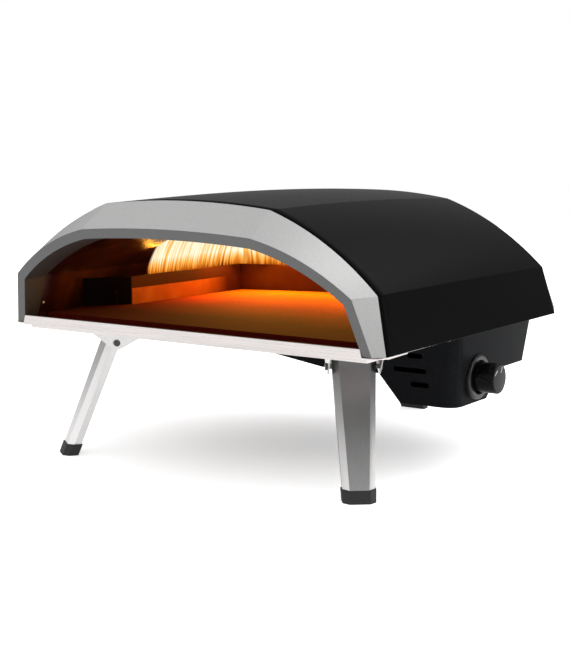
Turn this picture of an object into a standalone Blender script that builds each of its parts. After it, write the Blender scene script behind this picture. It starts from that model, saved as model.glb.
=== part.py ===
"""Portable gas pizza oven on three folding legs, modelled as separate pieces.

Metres, +Z up.  The front, with the mouth, faces -Y and the gas knob sticks out to +X.
While the sizes are worked out, y = 0 is the bottom front edge of the bezel.  At the end
everything hangs on one empty that moves the middle of the footprint to the origin.
"""
import math

import bmesh
import bpy
import numpy as np

# Clearances, walls and counts that many pieces share
GAP = 0.0003            # between pieces that touch on the real oven
OVERRUN = 0.010         # how far a cutter reaches past what it cuts
ROUND_STEPS = 24        # sides of a round piece
SHOULDER_STEPS = 6      # segments along a curved shoulder
CROWN_STEPS = 4         # segments along half of the crown
EDGE_STEPS = 3          # segments in a rounded edge
CORNER_STEPS = 6        # segments in a rounded corner
SHEET_ANGLE = math.radians(25.0)        # edges sharper than this stay crisp on sheet metal
ROUND_ANGLE = math.radians(35.0)        # and on turned pieces
MERGE = 0.00001

# Base tray: the stainless pan that carries everything
SILL_Z = 0.1842         # top of the tray's rim, which the bezel and the shell stand on
TRAY_WALL = 0.0015
RIM_INSET = 0.0071      # rim inside the shell's front foot
RIM_BACK_Y = 0.5440
PAN_HALF_WIDTH = 0.2620
PAN_FRONT_Y = 0.0120
PAN_BACK_Y = 0.4860
PAN_DEPTH = 0.0082
LIP_THICKNESS = 0.0030
LIP_RISE = 0.0103       # lip above the rim
LIP_DROP = 0.0024       # skirt below the rim
LIP_BACK_Y = 0.0010
WRAP_LENGTH = 0.0635    # the bright strip that runs back along each side
WRAP_CORNER = 0.0200

# Front bezel: leaning front arch, flared back to the shell
LEAN = 0.247            # how far the front plane leans forward for each unit of height
BEZEL_WALL = 0.0015
BEZEL_BACK_Y = 0.0130
BAND_WIDTH = 0.0125
FLANGE_BACK_Y = 0.0240
FRONT_ARCH = dict(foot=0.2755, side=(0.2580, 0.2516), top=(0.1289, 0.3161), crown=0.3212, bulge=0.0089)

# Outer shell, given by its arch at the front, the middle and the rear
SHELL_WALL = 0.0012
SHELL_REAR_Y = 0.4760
SHELL_BACK_Y = 0.5460
SHELL_SECTIONS = 7
SHELL_FOOT_FLANGE = 0.0140
SHELL_FRONT = dict(foot=0.2871, side=(0.2753, 0.2540), top=(0.1267, 0.3468), crown=0.3538, bulge=0.0102)
SHELL_MIDDLE = dict(foot=0.2896, side=(0.2733, 0.2520), top=(0.1245, 0.3475), crown=0.3580, bulge=0.0100)
SHELL_REAR = dict(foot=0.2915, side=(0.2708, 0.2488), top=(0.1210, 0.3400), crown=0.3500, bulge=0.0097)
SHELL_BACK = dict(foot=0.2600, side=(0.2400, 0.2380), top=(0.1060, 0.2980), crown=0.3050, bulge=0.0070)

# Oven liner and the blanket between liner and shell
LINER_WALL = 0.0010
LINER_BACK_Y = 0.4880
LINER_FOOT_FLANGE = 0.0040
LINER_ARCH = dict(foot=0.2665, side=(0.2510, 0.2460), top=(0.1285, 0.3085), crown=0.3150, bulge=0.0085)
BLANKET_FRONT_Y = 0.0300
BLANKET_BACK_Y = 0.5280
BLANKET_CLEARANCE = 0.0006

# Baking stone and its rails
STONE_TOP_Z = 0.1970
STONE_THICKNESS = 0.0160
STONE_FRONT_Y = 0.0220
STONE_RIGHT_X = 0.2500
STONE_LEFT_FRONT_X = -0.2440
STONE_EDGE_GAP = 0.0020
STONE_BEVEL = 0.0012
RAIL_WIDTH = 0.0160
RAIL_WALL = 0.0010
RAIL_HALF_LENGTH = 0.1500
RAIL_FRONT_Y = 0.0900
RAIL_REAR_Y = 0.3300

# Burner guard, seen from above: end plate, left wing, chamfered corner, rear wing
GUARD_WALL = 0.0012
GUARD_TOP_Z = 0.2355
GUARD_FOOT_WIDTH = 0.0065
GUARD_LIP_WIDTH = 0.0060
GUARD_START = (-0.2462, 0.0970)
GUARD_TURN = (-0.2040, 0.1505)
GUARD_CORNER = (-0.1850, 0.3850)
GUARD_REAR = (-0.0560, 0.4270)
GUARD_END = (0.2150, 0.4270)
SLIT_WIDTH = 0.0030
SLIT_HEIGHT = 0.0200
SLIT_BOTTOM_Z = 0.1972
SLIT_PLACE_SHARE = 0.70

# Burner tube behind the guard
BURNER_RADIUS = 0.0085
BURNER_OFFSET = 0.0180
BURNER_Z = 0.2180
BURNER_INLET_X = 0.2000
BURNER_BOTTOM_Z = 0.1600
BURNER_BEND = 0.0260
BRACKET_PLATE = 0.0015
BRACKET_HALF_WIDTH = 0.0115
BRACKET_FOOT = 0.0100
BURNER_WINGS = ("left", "corner", "rear")
BRACKET_WINGS = dict(burner_bracket_left="left", burner_bracket_corner="left", burner_bracket_rear="rear")
BRACKET_SHARES = dict(burner_bracket_left=0.30, burner_bracket_corner=0.86, burner_bracket_rear=0.50)

# Burner housing: a drafted pan with a deeper pocket behind the knob
HOUSING_WALL = 0.0015
HOUSING_LEFT_X = -0.1000
HOUSING_RIGHT_X = 0.2605
HOUSING_FRONT_Y = 0.2400
HOUSING_BACK_Y = 0.4670
HOUSING_DRAFT = 0.160
HOUSING_RIGHT_DRAFT = 0.100
HOUSING_LEFT_DRAFT = 0.80
PAN_BOTTOM_Z = 0.1180
POCKET_BOTTOM_Z = 0.0802
POCKET_LEFT_X = 0.1400
POCKET_BACK_Y = 0.3850
POCKET_SLOPE = 0.78            # run of its left slope for each unit of fall
SLOPE_START = (-0.0750, 0.1370)
SLOPE_END = (0.0500, 0.1180)
HOUSING_FRONT_RADIUS = 0.0200
HOUSING_BACK_RADIUS = 0.0080
HOUSING_FLANGE = 0.0110
SLOT_HEIGHT = 0.0068
SLOT_CENTRES = ((0.1965, 0.1470), (0.1875, 0.1270), (0.2010, 0.1080))
SLOT_LENGTHS = (0.0230, 0.0490, 0.0280)

# Gas valve, its knob and the pipes
KNOB_Y = 0.3070
KNOB_Z = 0.1165
KNOB_RADIUS = 0.0200
KNOB_TIP_X = 0.2895
KNOB_BACK_X = 0.2601
KNOB_EDGE = 0.0016
KNOB_TRAVEL = 0.0030
KNOB_TICK_WIDTH = 0.0012
KNOB_TICK_LENGTH = 0.0045
KNOB_TICK_DEPTH = 0.0004
KNOB_TICK_ANGLE = math.radians(17.0)
RING_RADIUS = 0.0300
RING_BORE = 0.0225
RING_FRONT_X = 0.2612
RING_EDGE = 0.0020
STEM_RADIUS = 0.0040
STEM_CLEARANCE = 0.0004
STEM_BACK_X = 0.2270
STEM_TIP_X = 0.2780
STEM_HOLE_RADIUS = 0.0090
PLUNGER_LENGTH = 0.0147
VALVE_BACK_X = 0.2040
VALVE_FRONT_X = 0.2430
VALVE_NOSE_X = 0.2470
VALVE_NOSE_RADIUS = 0.0100
VALVE_HALF_SIZE = 0.0165
VALVE_EDGE = 0.0015
VALVE_BRACKET_PLATE = 0.0020
VALVE_BRACKET_HALF_WIDTH = 0.0120
VALVE_BRACKET_TAB = 0.0180
PIEZO_RADIUS = 0.0085
PIEZO_LENGTH = 0.0340
PIEZO_Z = 0.1120
PIPE_RADIUS = 0.0040
PIPE_BEND = 0.0140
INJECTOR_RADIUS = 0.0065
INJECTOR_LENGTH = 0.0160
INLET_X = 0.1850
INLET_Z = 0.1450
INLET_BODY_RADIUS = 0.0080
INLET_HEX_RADIUS = 0.0110
INLET_HEX_LENGTH = 0.0090
INLET_REACH = 0.0240
INLET_NUT_LENGTH = 0.0050
INLET_INSIDE = 0.0120

# Igniter and flame sensor, both through the pan's floor beside the burner's inlet
ELECTRODE_Y = 0.4585
ELECTRODE_X = 0.1500
SENSOR_X = 0.1150
CERAMIC_RADIUS = 0.0040
CERAMIC_BOTTOM_Z = 0.1640
CERAMIC_TOP_Z = 0.2140
ROD_RADIUS = 0.0012
ROD_LENGTH = 0.0160
SENSOR_RADIUS = 0.0030
SENSOR_TOP_Z = 0.2280
LEAD_RADIUS = 0.0016

# Legs: three alike in section; the rear one is shorter
FRONT_PIVOT = (0.1935, 0.0963, 0.1543)
FRONT_HEADING = math.radians(38.2)
FRONT_SPLAY = math.radians(21.6)
REAR_PIVOT = (0.0080, 0.5340, 0.1000)
REAR_HEADING = math.radians(180.0)
REAR_SPLAY = math.radians(30.5)
LEG_WALL = 0.0020
LEG_OUT = 0.0105        # web face outside the pivot axis
LEG_IN = 0.0060         # flange edge inside the pivot axis
LEG_TOP_HALF_WIDTH = 0.0270
LEG_FOOT_HALF_WIDTH = 0.0190
LEG_CHAMFER = 0.0075
LEG_TOP_RADIUS = 0.0165
LEG_END_Z = 0.0030
FOOT_HEIGHT = 0.0155
FOOT_WALL = 0.0014
EAR_PLACE = 0.0310
EAR_THICKNESS = 0.0015
EAR_TIP_RADIUS = 0.0100
FRONT_EAR_REACH = (0.0400, 0.0400, 0.0124)      # outward and inward at the top, and the inward edge's drop
REAR_EAR_REACH = (0.0095, 0.0400, 0.0030)
STOP_REACH = (0.0150, 0.0180)
STOP_CLEARANCE = 0.0003
PIN_RADIUS = 0.0030
PIN_HEAD_RADIUS = 0.0045
PIN_HEAD_LENGTH = 0.0025
EAR_TIP_STEPS = 10
EAR_TIP_START = math.radians(223.0)
EAR_TIP_SWEEP = math.radians(70.0)

# Screws that hold the housing and the leg brackets under the tray
SCREW_RADIUS = 0.0020
SCREW_HEAD_RADIUS = 0.0038
SCREW_HEAD_HEIGHT = 0.0022
SCREW_STEPS = 12
SCREW_INSET = 0.0055

# Worked out from the sizes above
PAN_FLOOR_BOTTOM_Z = SILL_Z - PAN_DEPTH
PAN_FLOOR_TOP_Z = PAN_FLOOR_BOTTOM_Z + TRAY_WALL
SHELL_FOOT_Z = SILL_Z + GAP
STONE_BOTTOM_Z = STONE_TOP_Z - STONE_THICKNESS
LIP_FRONT_Y = LIP_BACK_Y - LIP_THICKNESS
WRAP_HALF_WIDTH = SHELL_FRONT["foot"] - GAP
RIM_HALF_WIDTH = SHELL_FRONT["foot"] - RIM_INSET
HOUSING_TOP_Z = PAN_FLOOR_BOTTOM_Z - GAP
ON_AXIS = (0.0, 0.0)


def clear_scene():
    """Take every object out of the open file."""
    for item in list(bpy.data.objects):
        bpy.data.objects.remove(item, do_unlink=True)


def make_material(name, colour, roughness, metallic):
    """A plain Principled material."""
    material = bpy.data.materials.new(name)
    material.use_nodes = True
    shader = material.node_tree.nodes["Principled BSDF"]
    shader.inputs["Base Color"].default_value = (*colour, 1.0)
    shader.inputs["Roughness"].default_value = roughness
    shader.inputs["Metallic"].default_value = metallic
    material.diffuse_color = (*colour, 1.0)
    return material


def make_empty(name, location=(0.0, 0.0, 0.0), heading=0.0, parent=None):
    """An empty that other pieces hang on."""
    empty = bpy.data.objects.new(name, None)
    empty.location = location
    empty.rotation_euler = (0.0, 0.0, heading)
    empty.parent = parent
    bpy.context.collection.objects.link(empty)
    return empty


def make_object(name, points, faces, material, parent, smooth_angle=None):
    """A closed mesh with its faces turned outwards."""
    mesh = bpy.data.meshes.new(name)
    mesh.from_pydata([tuple(point) for point in points], [], faces)
    work = bmesh.new()
    work.from_mesh(mesh)
    bmesh.ops.recalc_face_normals(work, faces=work.faces)
    work.to_mesh(mesh)
    work.free()
    if smooth_angle is not None:
        mesh.shade_smooth()
        mesh.set_sharp_from_angle(angle=smooth_angle)
    mesh.materials.append(material)
    item = bpy.data.objects.new(name, mesh)
    item.parent = parent
    bpy.context.collection.objects.link(item)
    return item


def loft(rings, closed=False):
    """Points and faces of a skin over rings of equal length, capped unless the rings close up."""
    rings = [list(ring) for ring in rings]
    count = len(rings[0])
    points = [point for ring in rings for point in ring]
    faces = []
    last = len(rings) if closed else len(rings) - 1
    for row in range(last):
        here = row * count
        there = (row + 1) % len(rings) * count
        for i in range(count):
            j = (i + 1) % count
            faces.append((here + i, here + j, there + j, there + i))
    if not closed:
        faces.append(tuple(range(count)))
        faces.append(tuple(range(len(points) - count, len(points))))
    return points, faces


def cup(outer_rows, inner_rows):
    """Points and faces of a thin cup: two skins of rows, each closed by its last row, joined at the rim."""
    rows = len(outer_rows)
    count = len(outer_rows[0])
    points = [point for row in outer_rows for point in row]
    points += [point for row in inner_rows for point in row]
    inner = rows * count
    faces = []
    for row in range(rows - 1):
        for i in range(count - 1):
            a = row * count + i
            for triangle in ((a, a + 1, a + count + 1), (a, a + count + 1, a + count)):
                faces.append(triangle)
                faces.append(tuple(inner + index for index in reversed(triangle)))
        for i in (0, count - 1):
            a = row * count + i
            faces.append((a, a + count, inner + a + count, inner + a))
    back = (rows - 1) * count
    faces.append(tuple(back + i for i in range(count)))
    faces.append(tuple(inner + back + i for i in reversed(range(count))))
    faces.append((back, back + count - 1, inner + back + count - 1, inner + back))
    for i in range(count - 1):
        faces.append((i, i + 1, inner + i + 1, inner + i))
    return points, faces


def prism(outline, low, high, place):
    """Points and faces of an outline pushed from low to high; place turns (a, b, h) into x, y, z."""
    return loft([[place(a, b, low) for a, b in outline], [place(a, b, high) for a, b in outline]])


def along_x(a, b, h):
    """An outline drawn in y and z."""
    return (h, a, b)


def along_y(a, b, h):
    """An outline drawn in x and z."""
    return (a, h, b)


def along_z(a, b, h):
    """An outline drawn in x and y."""
    return (a, b, h)


def rectangle(low_a, high_a, low_b, high_b):
    """The four corners of a rectangle."""
    return [(low_a, low_b), (high_a, low_b), (high_a, high_b), (low_a, high_b)]


def circle(centre_a, centre_b, radius, steps=ROUND_STEPS):
    """A regular outline round a centre."""
    angles = [2.0 * math.pi * step / steps for step in range(steps)]
    return [(centre_a + radius * math.cos(angle), centre_b + radius * math.sin(angle)) for angle in angles]


def quarter_arc(centre_a, centre_b, radius, quarter):
    """A quarter of a circle round a centre, starting that many quarter turns from the first axis."""
    angles = [math.pi / 2 * (quarter + step / CORNER_STEPS) for step in range(CORNER_STEPS + 1)]
    return [(centre_a + radius * math.cos(angle), centre_b + radius * math.sin(angle)) for angle in angles]


def rounded_rectangle(low_a, high_a, low_b, high_b, low_radius, high_radius):
    """A rectangle with rounded corners, one radius at its low b and one at its high b."""
    outline = quarter_arc(high_a - high_radius, high_b - high_radius, high_radius, 0)
    outline += quarter_arc(low_a + high_radius, high_b - high_radius, high_radius, 1)
    outline += quarter_arc(low_a + low_radius, low_b + low_radius, low_radius, 2)
    outline += quarter_arc(high_a - low_radius, low_b + low_radius, low_radius, 3)
    return outline


def turned(profile, centre, place, steps=ROUND_STEPS, closed=False):
    """Points and faces of a profile of (radius, height) turned round an axis through centre."""
    rings = [[place(a, b, height) for a, b in circle(*centre, radius, steps)] for radius, height in profile]
    return loft(rings, closed)


def hide_cutter(cutter):
    """Leave a cutter or a guide out of the model."""
    cutter.hide_render = True
    cutter.display_type = "WIRE"


def boolean(target, tool, operation):
    """Cut a tool away from a target, or add it."""
    hide_cutter(tool)
    modifier = target.modifiers.new(tool.name, "BOOLEAN")
    modifier.operation = operation
    modifier.solver = "EXACT"
    modifier.object = tool


def cutter_for(target, name, geometry):
    """Cut a shape away from a target that shares its parent."""
    cutter = make_object(name, *geometry, target.data.materials[0], target.parent)
    boolean(target, cutter, "DIFFERENCE")
    return cutter


def added_to(target, name, geometry):
    """Fuse a shape onto a target that shares its parent."""
    extra = make_object(name, *geometry, target.data.materials[0], target.parent)
    boolean(target, extra, "UNION")
    return extra


def pipe(name, points, radius, material, parent, sides=3):
    """A round tube along points, with filled ends."""
    curve = bpy.data.curves.new(name, "CURVE")
    curve.dimensions = "3D"
    curve.bevel_depth = radius
    curve.bevel_resolution = sides
    curve.use_fill_caps = True
    spline = curve.splines.new("POLY")
    spline.points.add(len(points) - 1)
    for slot, point in zip(spline.points, points):
        slot.co = (*point, 1.0)
    curve.materials.append(material)
    item = bpy.data.objects.new(name, curve)
    item.parent = parent
    bpy.context.collection.objects.link(item)
    return item


def rounded_route(corners, bend, steps=5):
    """A route through corners, with each corner replaced by an even bend."""
    corners = [np.array(corner, float) for corner in corners]
    route = [corners[0]]
    for before, corner, after in zip(corners, corners[1:], corners[2:]):
        start = corner + (before - corner) / np.linalg.norm(before - corner) * bend
        end = corner + (after - corner) / np.linalg.norm(after - corner) * bend
        for step in range(steps + 1):
            share = step / steps
            route.append((1 - share) ** 2 * start + 2 * share * (1 - share) * corner + share ** 2 * end)
    route.append(corners[-1])
    return [tuple(point) for point in route]


def arch(foot, side, top, crown, bulge, foot_z=SHELL_FOOT_Z):
    """An arch in x and z from the left foot over the crown to the right foot."""
    side = np.array(side)
    top = np.array(top)
    chord = top - side
    outward = np.array([chord[1], -chord[0]]) / np.linalg.norm(chord)
    half = [np.array([foot, foot_z])]
    for step in range(SHOULDER_STEPS + 1):
        share = step / SHOULDER_STEPS
        half.append(side + chord * share + outward * bulge * 4.0 * share * (1.0 - share))
    for step in range(1, CROWN_STEPS + 1):
        x = top[0] * (1.0 - step / CROWN_STEPS)
        half.append(np.array([x, top[1] + (crown - top[1]) * (1.0 - (x / top[0]) ** 2)]))
    half = np.array(half)
    left = half * [-1.0, 1.0]
    return np.vstack([left, half[-2::-1]])


def inset(points, distance, foot_z=None):
    """The same arch moved inwards by a distance; its feet stay level or go to foot_z."""
    before = np.vstack([points[:1], points[:-1]])
    after = np.vstack([points[1:], points[-1:]])
    first = points - before
    second = after - points
    first[0] = second[0]
    second[-1] = first[-1]
    normals = []
    for edge in (first, second):
        length = np.linalg.norm(edge, axis=1)[:, None]
        normals.append(np.column_stack([edge[:, 1], -edge[:, 0]]) / length)
    mitre = normals[0] + normals[1]
    mitre /= np.sum(mitre * normals[0], axis=1)[:, None]
    moved = points + mitre * distance
    for end in (0, -1):
        moved[end, 1] = points[end, 1] if foot_z is None else foot_z
    return moved


def with_feet(points, width, foot_z):
    """An arch with a level flange turned inwards at each foot."""
    left = [points[0][0] + width, foot_z]
    right = [points[-1][0] - width, foot_z]
    body = points.copy()
    body[0, 1] = foot_z
    body[-1, 1] = foot_z
    return np.vstack([[left], body, [right]])


def upright(points, y):
    """An arch stood up in the plane at y."""
    return [(x, y, z) for x, z in points]


def leaning(points, back=0.0):
    """An arch laid in the bezel's leaning front plane, or that far behind it."""
    return [(x, back - LEAN * (z - SHELL_FOOT_Z), z) for x, z in points]


def blend_arches(share):
    """The shell's arch at a share of the way from the bezel to the rear, through three sections."""
    weights = (2.0 * (share - 0.5) * (share - 1.0), -4.0 * share * (share - 1.0), 2.0 * share * (share - 0.5))
    arches = [arch(**spec) for spec in (SHELL_FRONT, SHELL_MIDDLE, SHELL_REAR)]
    return sum(weight * points for weight, points in zip(weights, arches))


def make_shell(material, root):
    """The black outer shell: curved roof, crisp side creases and a hipped back."""
    front_y = BEZEL_BACK_Y + GAP
    shares = [step / (SHELL_SECTIONS - 1) for step in range(SHELL_SECTIONS)]
    places = [front_y + (SHELL_REAR_Y - front_y) * share for share in shares]
    sections = [blend_arches(share) for share in shares] + [arch(**SHELL_BACK)]
    places.append(SHELL_BACK_Y)
    outer = []
    inner = []
    for points, y in zip(sections, places):
        flanged = with_feet(points, SHELL_FOOT_FLANGE, SHELL_FOOT_Z)
        inside = inset(points, SHELL_WALL)
        inside_feet = with_feet(inside, SHELL_FOOT_FLANGE - SHELL_WALL, SHELL_FOOT_Z + SHELL_WALL)
        outer.append(upright(flanged, y))
        inner.append(upright(inside_feet, y if y < SHELL_BACK_Y else y - SHELL_WALL))
    return make_object("outer_shell", *cup(outer, inner), material, root, SHEET_ANGLE)


def make_blanket(material, root):
    """The insulation blanket between the liner and the shell."""
    front_y = BEZEL_BACK_Y + GAP
    foot_z = SHELL_FOOT_Z + SHELL_WALL + BLANKET_CLEARANCE
    places = np.linspace(BLANKET_FRONT_Y, SHELL_REAR_Y, SHELL_SECTIONS - 1)
    outer = []
    liner = inset(arch(**LINER_ARCH), -BLANKET_CLEARANCE, foot_z)
    liner_y = np.linspace(BLANKET_FRONT_Y, LINER_BACK_Y + BLANKET_CLEARANCE, SHELL_SECTIONS)
    for y in places:
        share = (y - front_y) / (SHELL_REAR_Y - front_y)
        outer.append(upright(inset(blend_arches(share), SHELL_WALL + BLANKET_CLEARANCE, foot_z), y))
    back_share = (BLANKET_BACK_Y - SHELL_REAR_Y) / (SHELL_BACK_Y - SHELL_REAR_Y)
    back = blend_arches(1.0) * (1.0 - back_share) + arch(**SHELL_BACK) * back_share
    outer.append(upright(inset(back, SHELL_WALL * 2.0 + BLANKET_CLEARANCE, foot_z), BLANKET_BACK_Y))
    inner = [upright(liner, y) for y in liner_y]
    return make_object("insulation_blanket", *cup(outer, inner), material, root, SHEET_ANGLE)


def make_liner(material, root):
    """The steel oven liner that the flames lick."""
    front_y = FLANGE_BACK_Y + GAP
    points = arch(**LINER_ARCH)
    inside = inset(points, LINER_WALL)
    outer_feet = with_feet(points, LINER_FOOT_FLANGE, SHELL_FOOT_Z)
    inner_feet = with_feet(inside, LINER_FOOT_FLANGE - LINER_WALL, SHELL_FOOT_Z + LINER_WALL)
    outer = [upright(outer_feet, front_y), upright(outer_feet, LINER_BACK_Y)]
    inner = [upright(inner_feet, front_y), upright(inner_feet, LINER_BACK_Y - LINER_WALL)]
    return make_object("oven_liner", *cup(outer, inner), material, root, SHEET_ANGLE)


def make_bezel(material, root):
    """The silver bezel: flared skin, dark front band and a flange turned back into the mouth."""
    front = arch(**FRONT_ARCH)
    back = arch(**SHELL_FRONT)
    mouth = inset(front, BAND_WIDTH)
    behind = inset(front, BAND_WIDTH - BEZEL_WALL)
    loops = [
        upright(back, BEZEL_BACK_Y),
        leaning(front),
        leaning(mouth),
        upright(mouth, FLANGE_BACK_Y),
        upright(behind, FLANGE_BACK_Y),
        leaning(behind, BEZEL_WALL),
        leaning(inset(front, BEZEL_WALL), BEZEL_WALL),
        upright(inset(back, BEZEL_WALL), BEZEL_BACK_Y),
    ]
    rings = [[loop[i] for loop in loops] for i in range(len(front))]
    return make_object("front_bezel", *loft(rings), material, root, SHEET_ANGLE)


def mouth_half_width(z):
    """Half of the bezel's mouth at a height on its straight sides."""
    mouth = inset(arch(**FRONT_ARCH), BAND_WIDTH)
    foot, side = mouth[-1], mouth[-2]
    return foot[0] + (side[0] - foot[0]) * (z - foot[1]) / (side[1] - foot[1])


def rim_outline():
    """The tray's rim from above, with rounded front corners."""
    arc = quarter_arc(WRAP_HALF_WIDTH - WRAP_CORNER, LIP_FRONT_Y + WRAP_CORNER, WRAP_CORNER, -1)
    right = arc + [(WRAP_HALF_WIDTH, WRAP_LENGTH), (RIM_HALF_WIDTH, WRAP_LENGTH)]
    back_half_width = SHELL_BACK["foot"] - SHELL_FOOT_FLANGE
    right += [(RIM_HALF_WIDTH, SHELL_REAR_Y), (back_half_width, RIM_BACK_Y)]
    left = [(-x, y) for x, y in reversed(right)]
    return right + left


def make_tray(material, root):
    """The stainless base tray: rim, sunk pan, front lip and the strip that wraps each corner."""
    rim_bottom = SILL_Z - TRAY_WALL
    tray = make_object("base_tray", *prism(rim_outline(), rim_bottom, SILL_Z, along_z), material, root)
    pan = rectangle(-PAN_HALF_WIDTH, PAN_HALF_WIDTH, PAN_FRONT_Y, PAN_BACK_Y)
    added_to(tray, "tray_pan_block", prism(pan, PAN_FLOOR_BOTTOM_Z, SILL_Z - TRAY_WALL / 2, along_z))
    low_z, high_z = SILL_Z - LIP_DROP, SILL_Z + LIP_RISE
    half_low, half_high = mouth_half_width(SILL_Z) - GAP, mouth_half_width(high_z) - GAP
    lip_outline = [(-half_low, low_z), (half_low, low_z), (half_low, SILL_Z), (half_high, high_z),
                   (-half_high, high_z), (-half_low, SILL_Z)]
    added_to(tray, "tray_lip_block", prism(lip_outline, LIP_FRONT_Y, LIP_BACK_Y, along_y))
    taper = [(LIP_FRONT_Y + WRAP_CORNER, SILL_Z - LIP_DROP), (WRAP_LENGTH, SILL_Z - TRAY_WALL),
             (WRAP_LENGTH, SILL_Z - TRAY_WALL / 2), (LIP_FRONT_Y + WRAP_CORNER, SILL_Z - TRAY_WALL / 2)]
    for name, side in (("left", -1.0), ("right", 1.0)):
        ends = sorted((side * (WRAP_HALF_WIDTH - LIP_THICKNESS), side * (WRAP_HALF_WIDTH - MERGE)))
        added_to(tray, f"tray_wrap_{name}", prism(taper, *ends, along_x))
    hollow = rectangle(-PAN_HALF_WIDTH + TRAY_WALL, PAN_HALF_WIDTH - TRAY_WALL,
                       PAN_FRONT_Y + TRAY_WALL, PAN_BACK_Y - TRAY_WALL)
    cutter_for(tray, "tray_pan_hollow", prism(hollow, PAN_FLOOR_TOP_Z, SILL_Z + OVERRUN, along_z))
    burner_end = burner_route()[-1]
    holes = {
        "burner": (burner_end[0], burner_end[1], BURNER_RADIUS + GAP * 3),
        "igniter": (ELECTRODE_X, ELECTRODE_Y, CERAMIC_RADIUS + GAP),
        "sensor": (SENSOR_X, ELECTRODE_Y, SENSOR_RADIUS + GAP),
    }
    for name, (x, y, radius) in holes.items():
        outline = circle(x, y, radius)
        low = PAN_FLOOR_BOTTOM_Z - OVERRUN / 2
        cutter_for(tray, f"tray_hole_{name}", prism(outline, low, PAN_FLOOR_TOP_Z + OVERRUN / 2, along_z))
    for name, (x, y, top) in screw_places().items():
        low = top - TRAY_WALL - OVERRUN / 4
        high = top + TRAY_WALL + OVERRUN / 4
        outline = circle(x, y, SCREW_RADIUS + GAP, SCREW_STEPS)
        cutter_for(tray, f"tray_hole_{name}", prism(outline, low, high, along_z))
    return tray


def guard_path():
    """The guard's line from above."""
    corners = (GUARD_START, GUARD_TURN, GUARD_CORNER, GUARD_REAR, GUARD_END)
    return [np.array(corner) for corner in corners]


def offset_path(path, distance):
    """A line moved sideways, with mitred corners; positive is to the left of its direction."""
    directions = [(b - a) / np.linalg.norm(b - a) for a, b in zip(path, path[1:])]
    normals = [np.array([-direction[1], direction[0]]) for direction in directions]
    moved = [path[0] + normals[0] * distance]
    for point, first, second in zip(path[1:-1], normals, normals[1:]):
        mitre = (first + second) / (1.0 + first @ second)
        moved.append(point + mitre * distance)
    moved.append(path[-1] + normals[-1] * distance)
    return moved


def make_guard(material, root):
    """The bent sheet that stands between the burner and the stone, with a sight slit in its end plate."""
    foot_z = PAN_FLOOR_TOP_Z + GAP
    section = [(0.0, foot_z), (GUARD_FOOT_WIDTH, foot_z), (GUARD_FOOT_WIDTH, foot_z + GUARD_WALL),
               (GUARD_WALL, foot_z + GUARD_WALL), (GUARD_WALL, GUARD_TOP_Z - GUARD_WALL),
               (GUARD_LIP_WIDTH, GUARD_TOP_Z - GUARD_WALL), (GUARD_LIP_WIDTH, GUARD_TOP_Z),
               (0.0, GUARD_TOP_Z)]
    path = guard_path()
    lines = [offset_path(path, out) for out, _ in section]
    rings = []
    for corner in range(len(path)):
        rings.append([(*lines[k][corner], section[k][1]) for k in range(len(section))])
    guard = make_object("burner_guard", *loft(rings), material, root)
    start, turn = path[0], path[1]
    middle = start + (turn - start) * SLIT_PLACE_SHARE
    run = (turn - start) / np.linalg.norm(turn - start)
    across = np.array([-run[1], run[0]])
    slit = rectangle(-SLIT_WIDTH / 2, SLIT_WIDTH / 2, -GUARD_WALL, GUARD_WALL * 2)
    outline = [tuple(middle + run * a + across * b) for a, b in slit]
    cutter_for(guard, "guard_slit", prism(outline, SLIT_BOTTOM_Z, SLIT_BOTTOM_Z + SLIT_HEIGHT, along_z))
    return guard


def burner_line():
    """The burner's centre line from above: left wing, corner and rear wing."""
    return offset_path(guard_path()[1:], BURNER_OFFSET)


def burner_route():
    """The burner tube's centre line, from its front end to its inlet under the pan's floor."""
    flat = burner_line()
    flat[-1] = np.array([BURNER_INLET_X, flat[-1][1]])
    corners = [(x, y, BURNER_Z) for x, y in flat]
    corners.append((flat[-1][0], flat[-1][1], BURNER_BOTTOM_Z))
    return rounded_route(corners, BURNER_BEND)


def make_burner_bracket(name, wing, material, root):
    """A sheet bracket with a foot, standing across the burner tube that runs through its hole."""
    line = burner_line()
    place = BURNER_WINGS.index(wing)
    start, end = line[place], line[place + 1]
    middle = start + (end - start) * BRACKET_SHARES[name]
    run = (end - start) / np.linalg.norm(end - start)
    holder = make_empty(f"{name}_place", (middle[0], middle[1], 0.0), math.atan2(run[1], run[0]), root)
    foot_z = PAN_FLOOR_TOP_Z + GAP
    top_z = BURNER_Z + BURNER_RADIUS + BRACKET_PLATE * 2
    half_width = BRACKET_HALF_WIDTH
    side = [(0.0, foot_z), (BRACKET_FOOT, foot_z), (BRACKET_FOOT, foot_z + BRACKET_PLATE),
            (BRACKET_PLATE, foot_z + BRACKET_PLATE), (BRACKET_PLATE, top_z), (0.0, top_z)]
    trim = min(half_width, BURNER_OFFSET - GUARD_FOOT_WIDTH - GAP)
    shape = prism(side, -trim, half_width, along_y)
    bracket = make_object(name, *shape, material, holder)
    hole = circle(0.0, BURNER_Z, BURNER_RADIUS + GAP)
    cutter_for(bracket, f"{name}_hole", prism(hole, -OVERRUN, OVERRUN, along_x))
    return bracket


def make_stone(material, root):
    """The cordierite baking stone, cut to the guard's line on its left and at its rear."""
    end, left, corner, rear = offset_path(guard_path()[:4], -STONE_EDGE_GAP)
    outline = [(STONE_LEFT_FRONT_X, STONE_FRONT_Y), (STONE_RIGHT_X, STONE_FRONT_Y),
               (STONE_RIGHT_X, rear[1]), tuple(rear), tuple(corner), tuple(left), tuple(end)]
    stone = make_object("baking_stone", *prism(outline, STONE_BOTTOM_Z, STONE_TOP_Z, along_z), material, root)
    bevel = stone.modifiers.new("edge", "BEVEL")
    bevel.width = STONE_BEVEL
    bevel.segments = 1
    bevel.limit_method = "ANGLE"
    return stone


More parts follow.
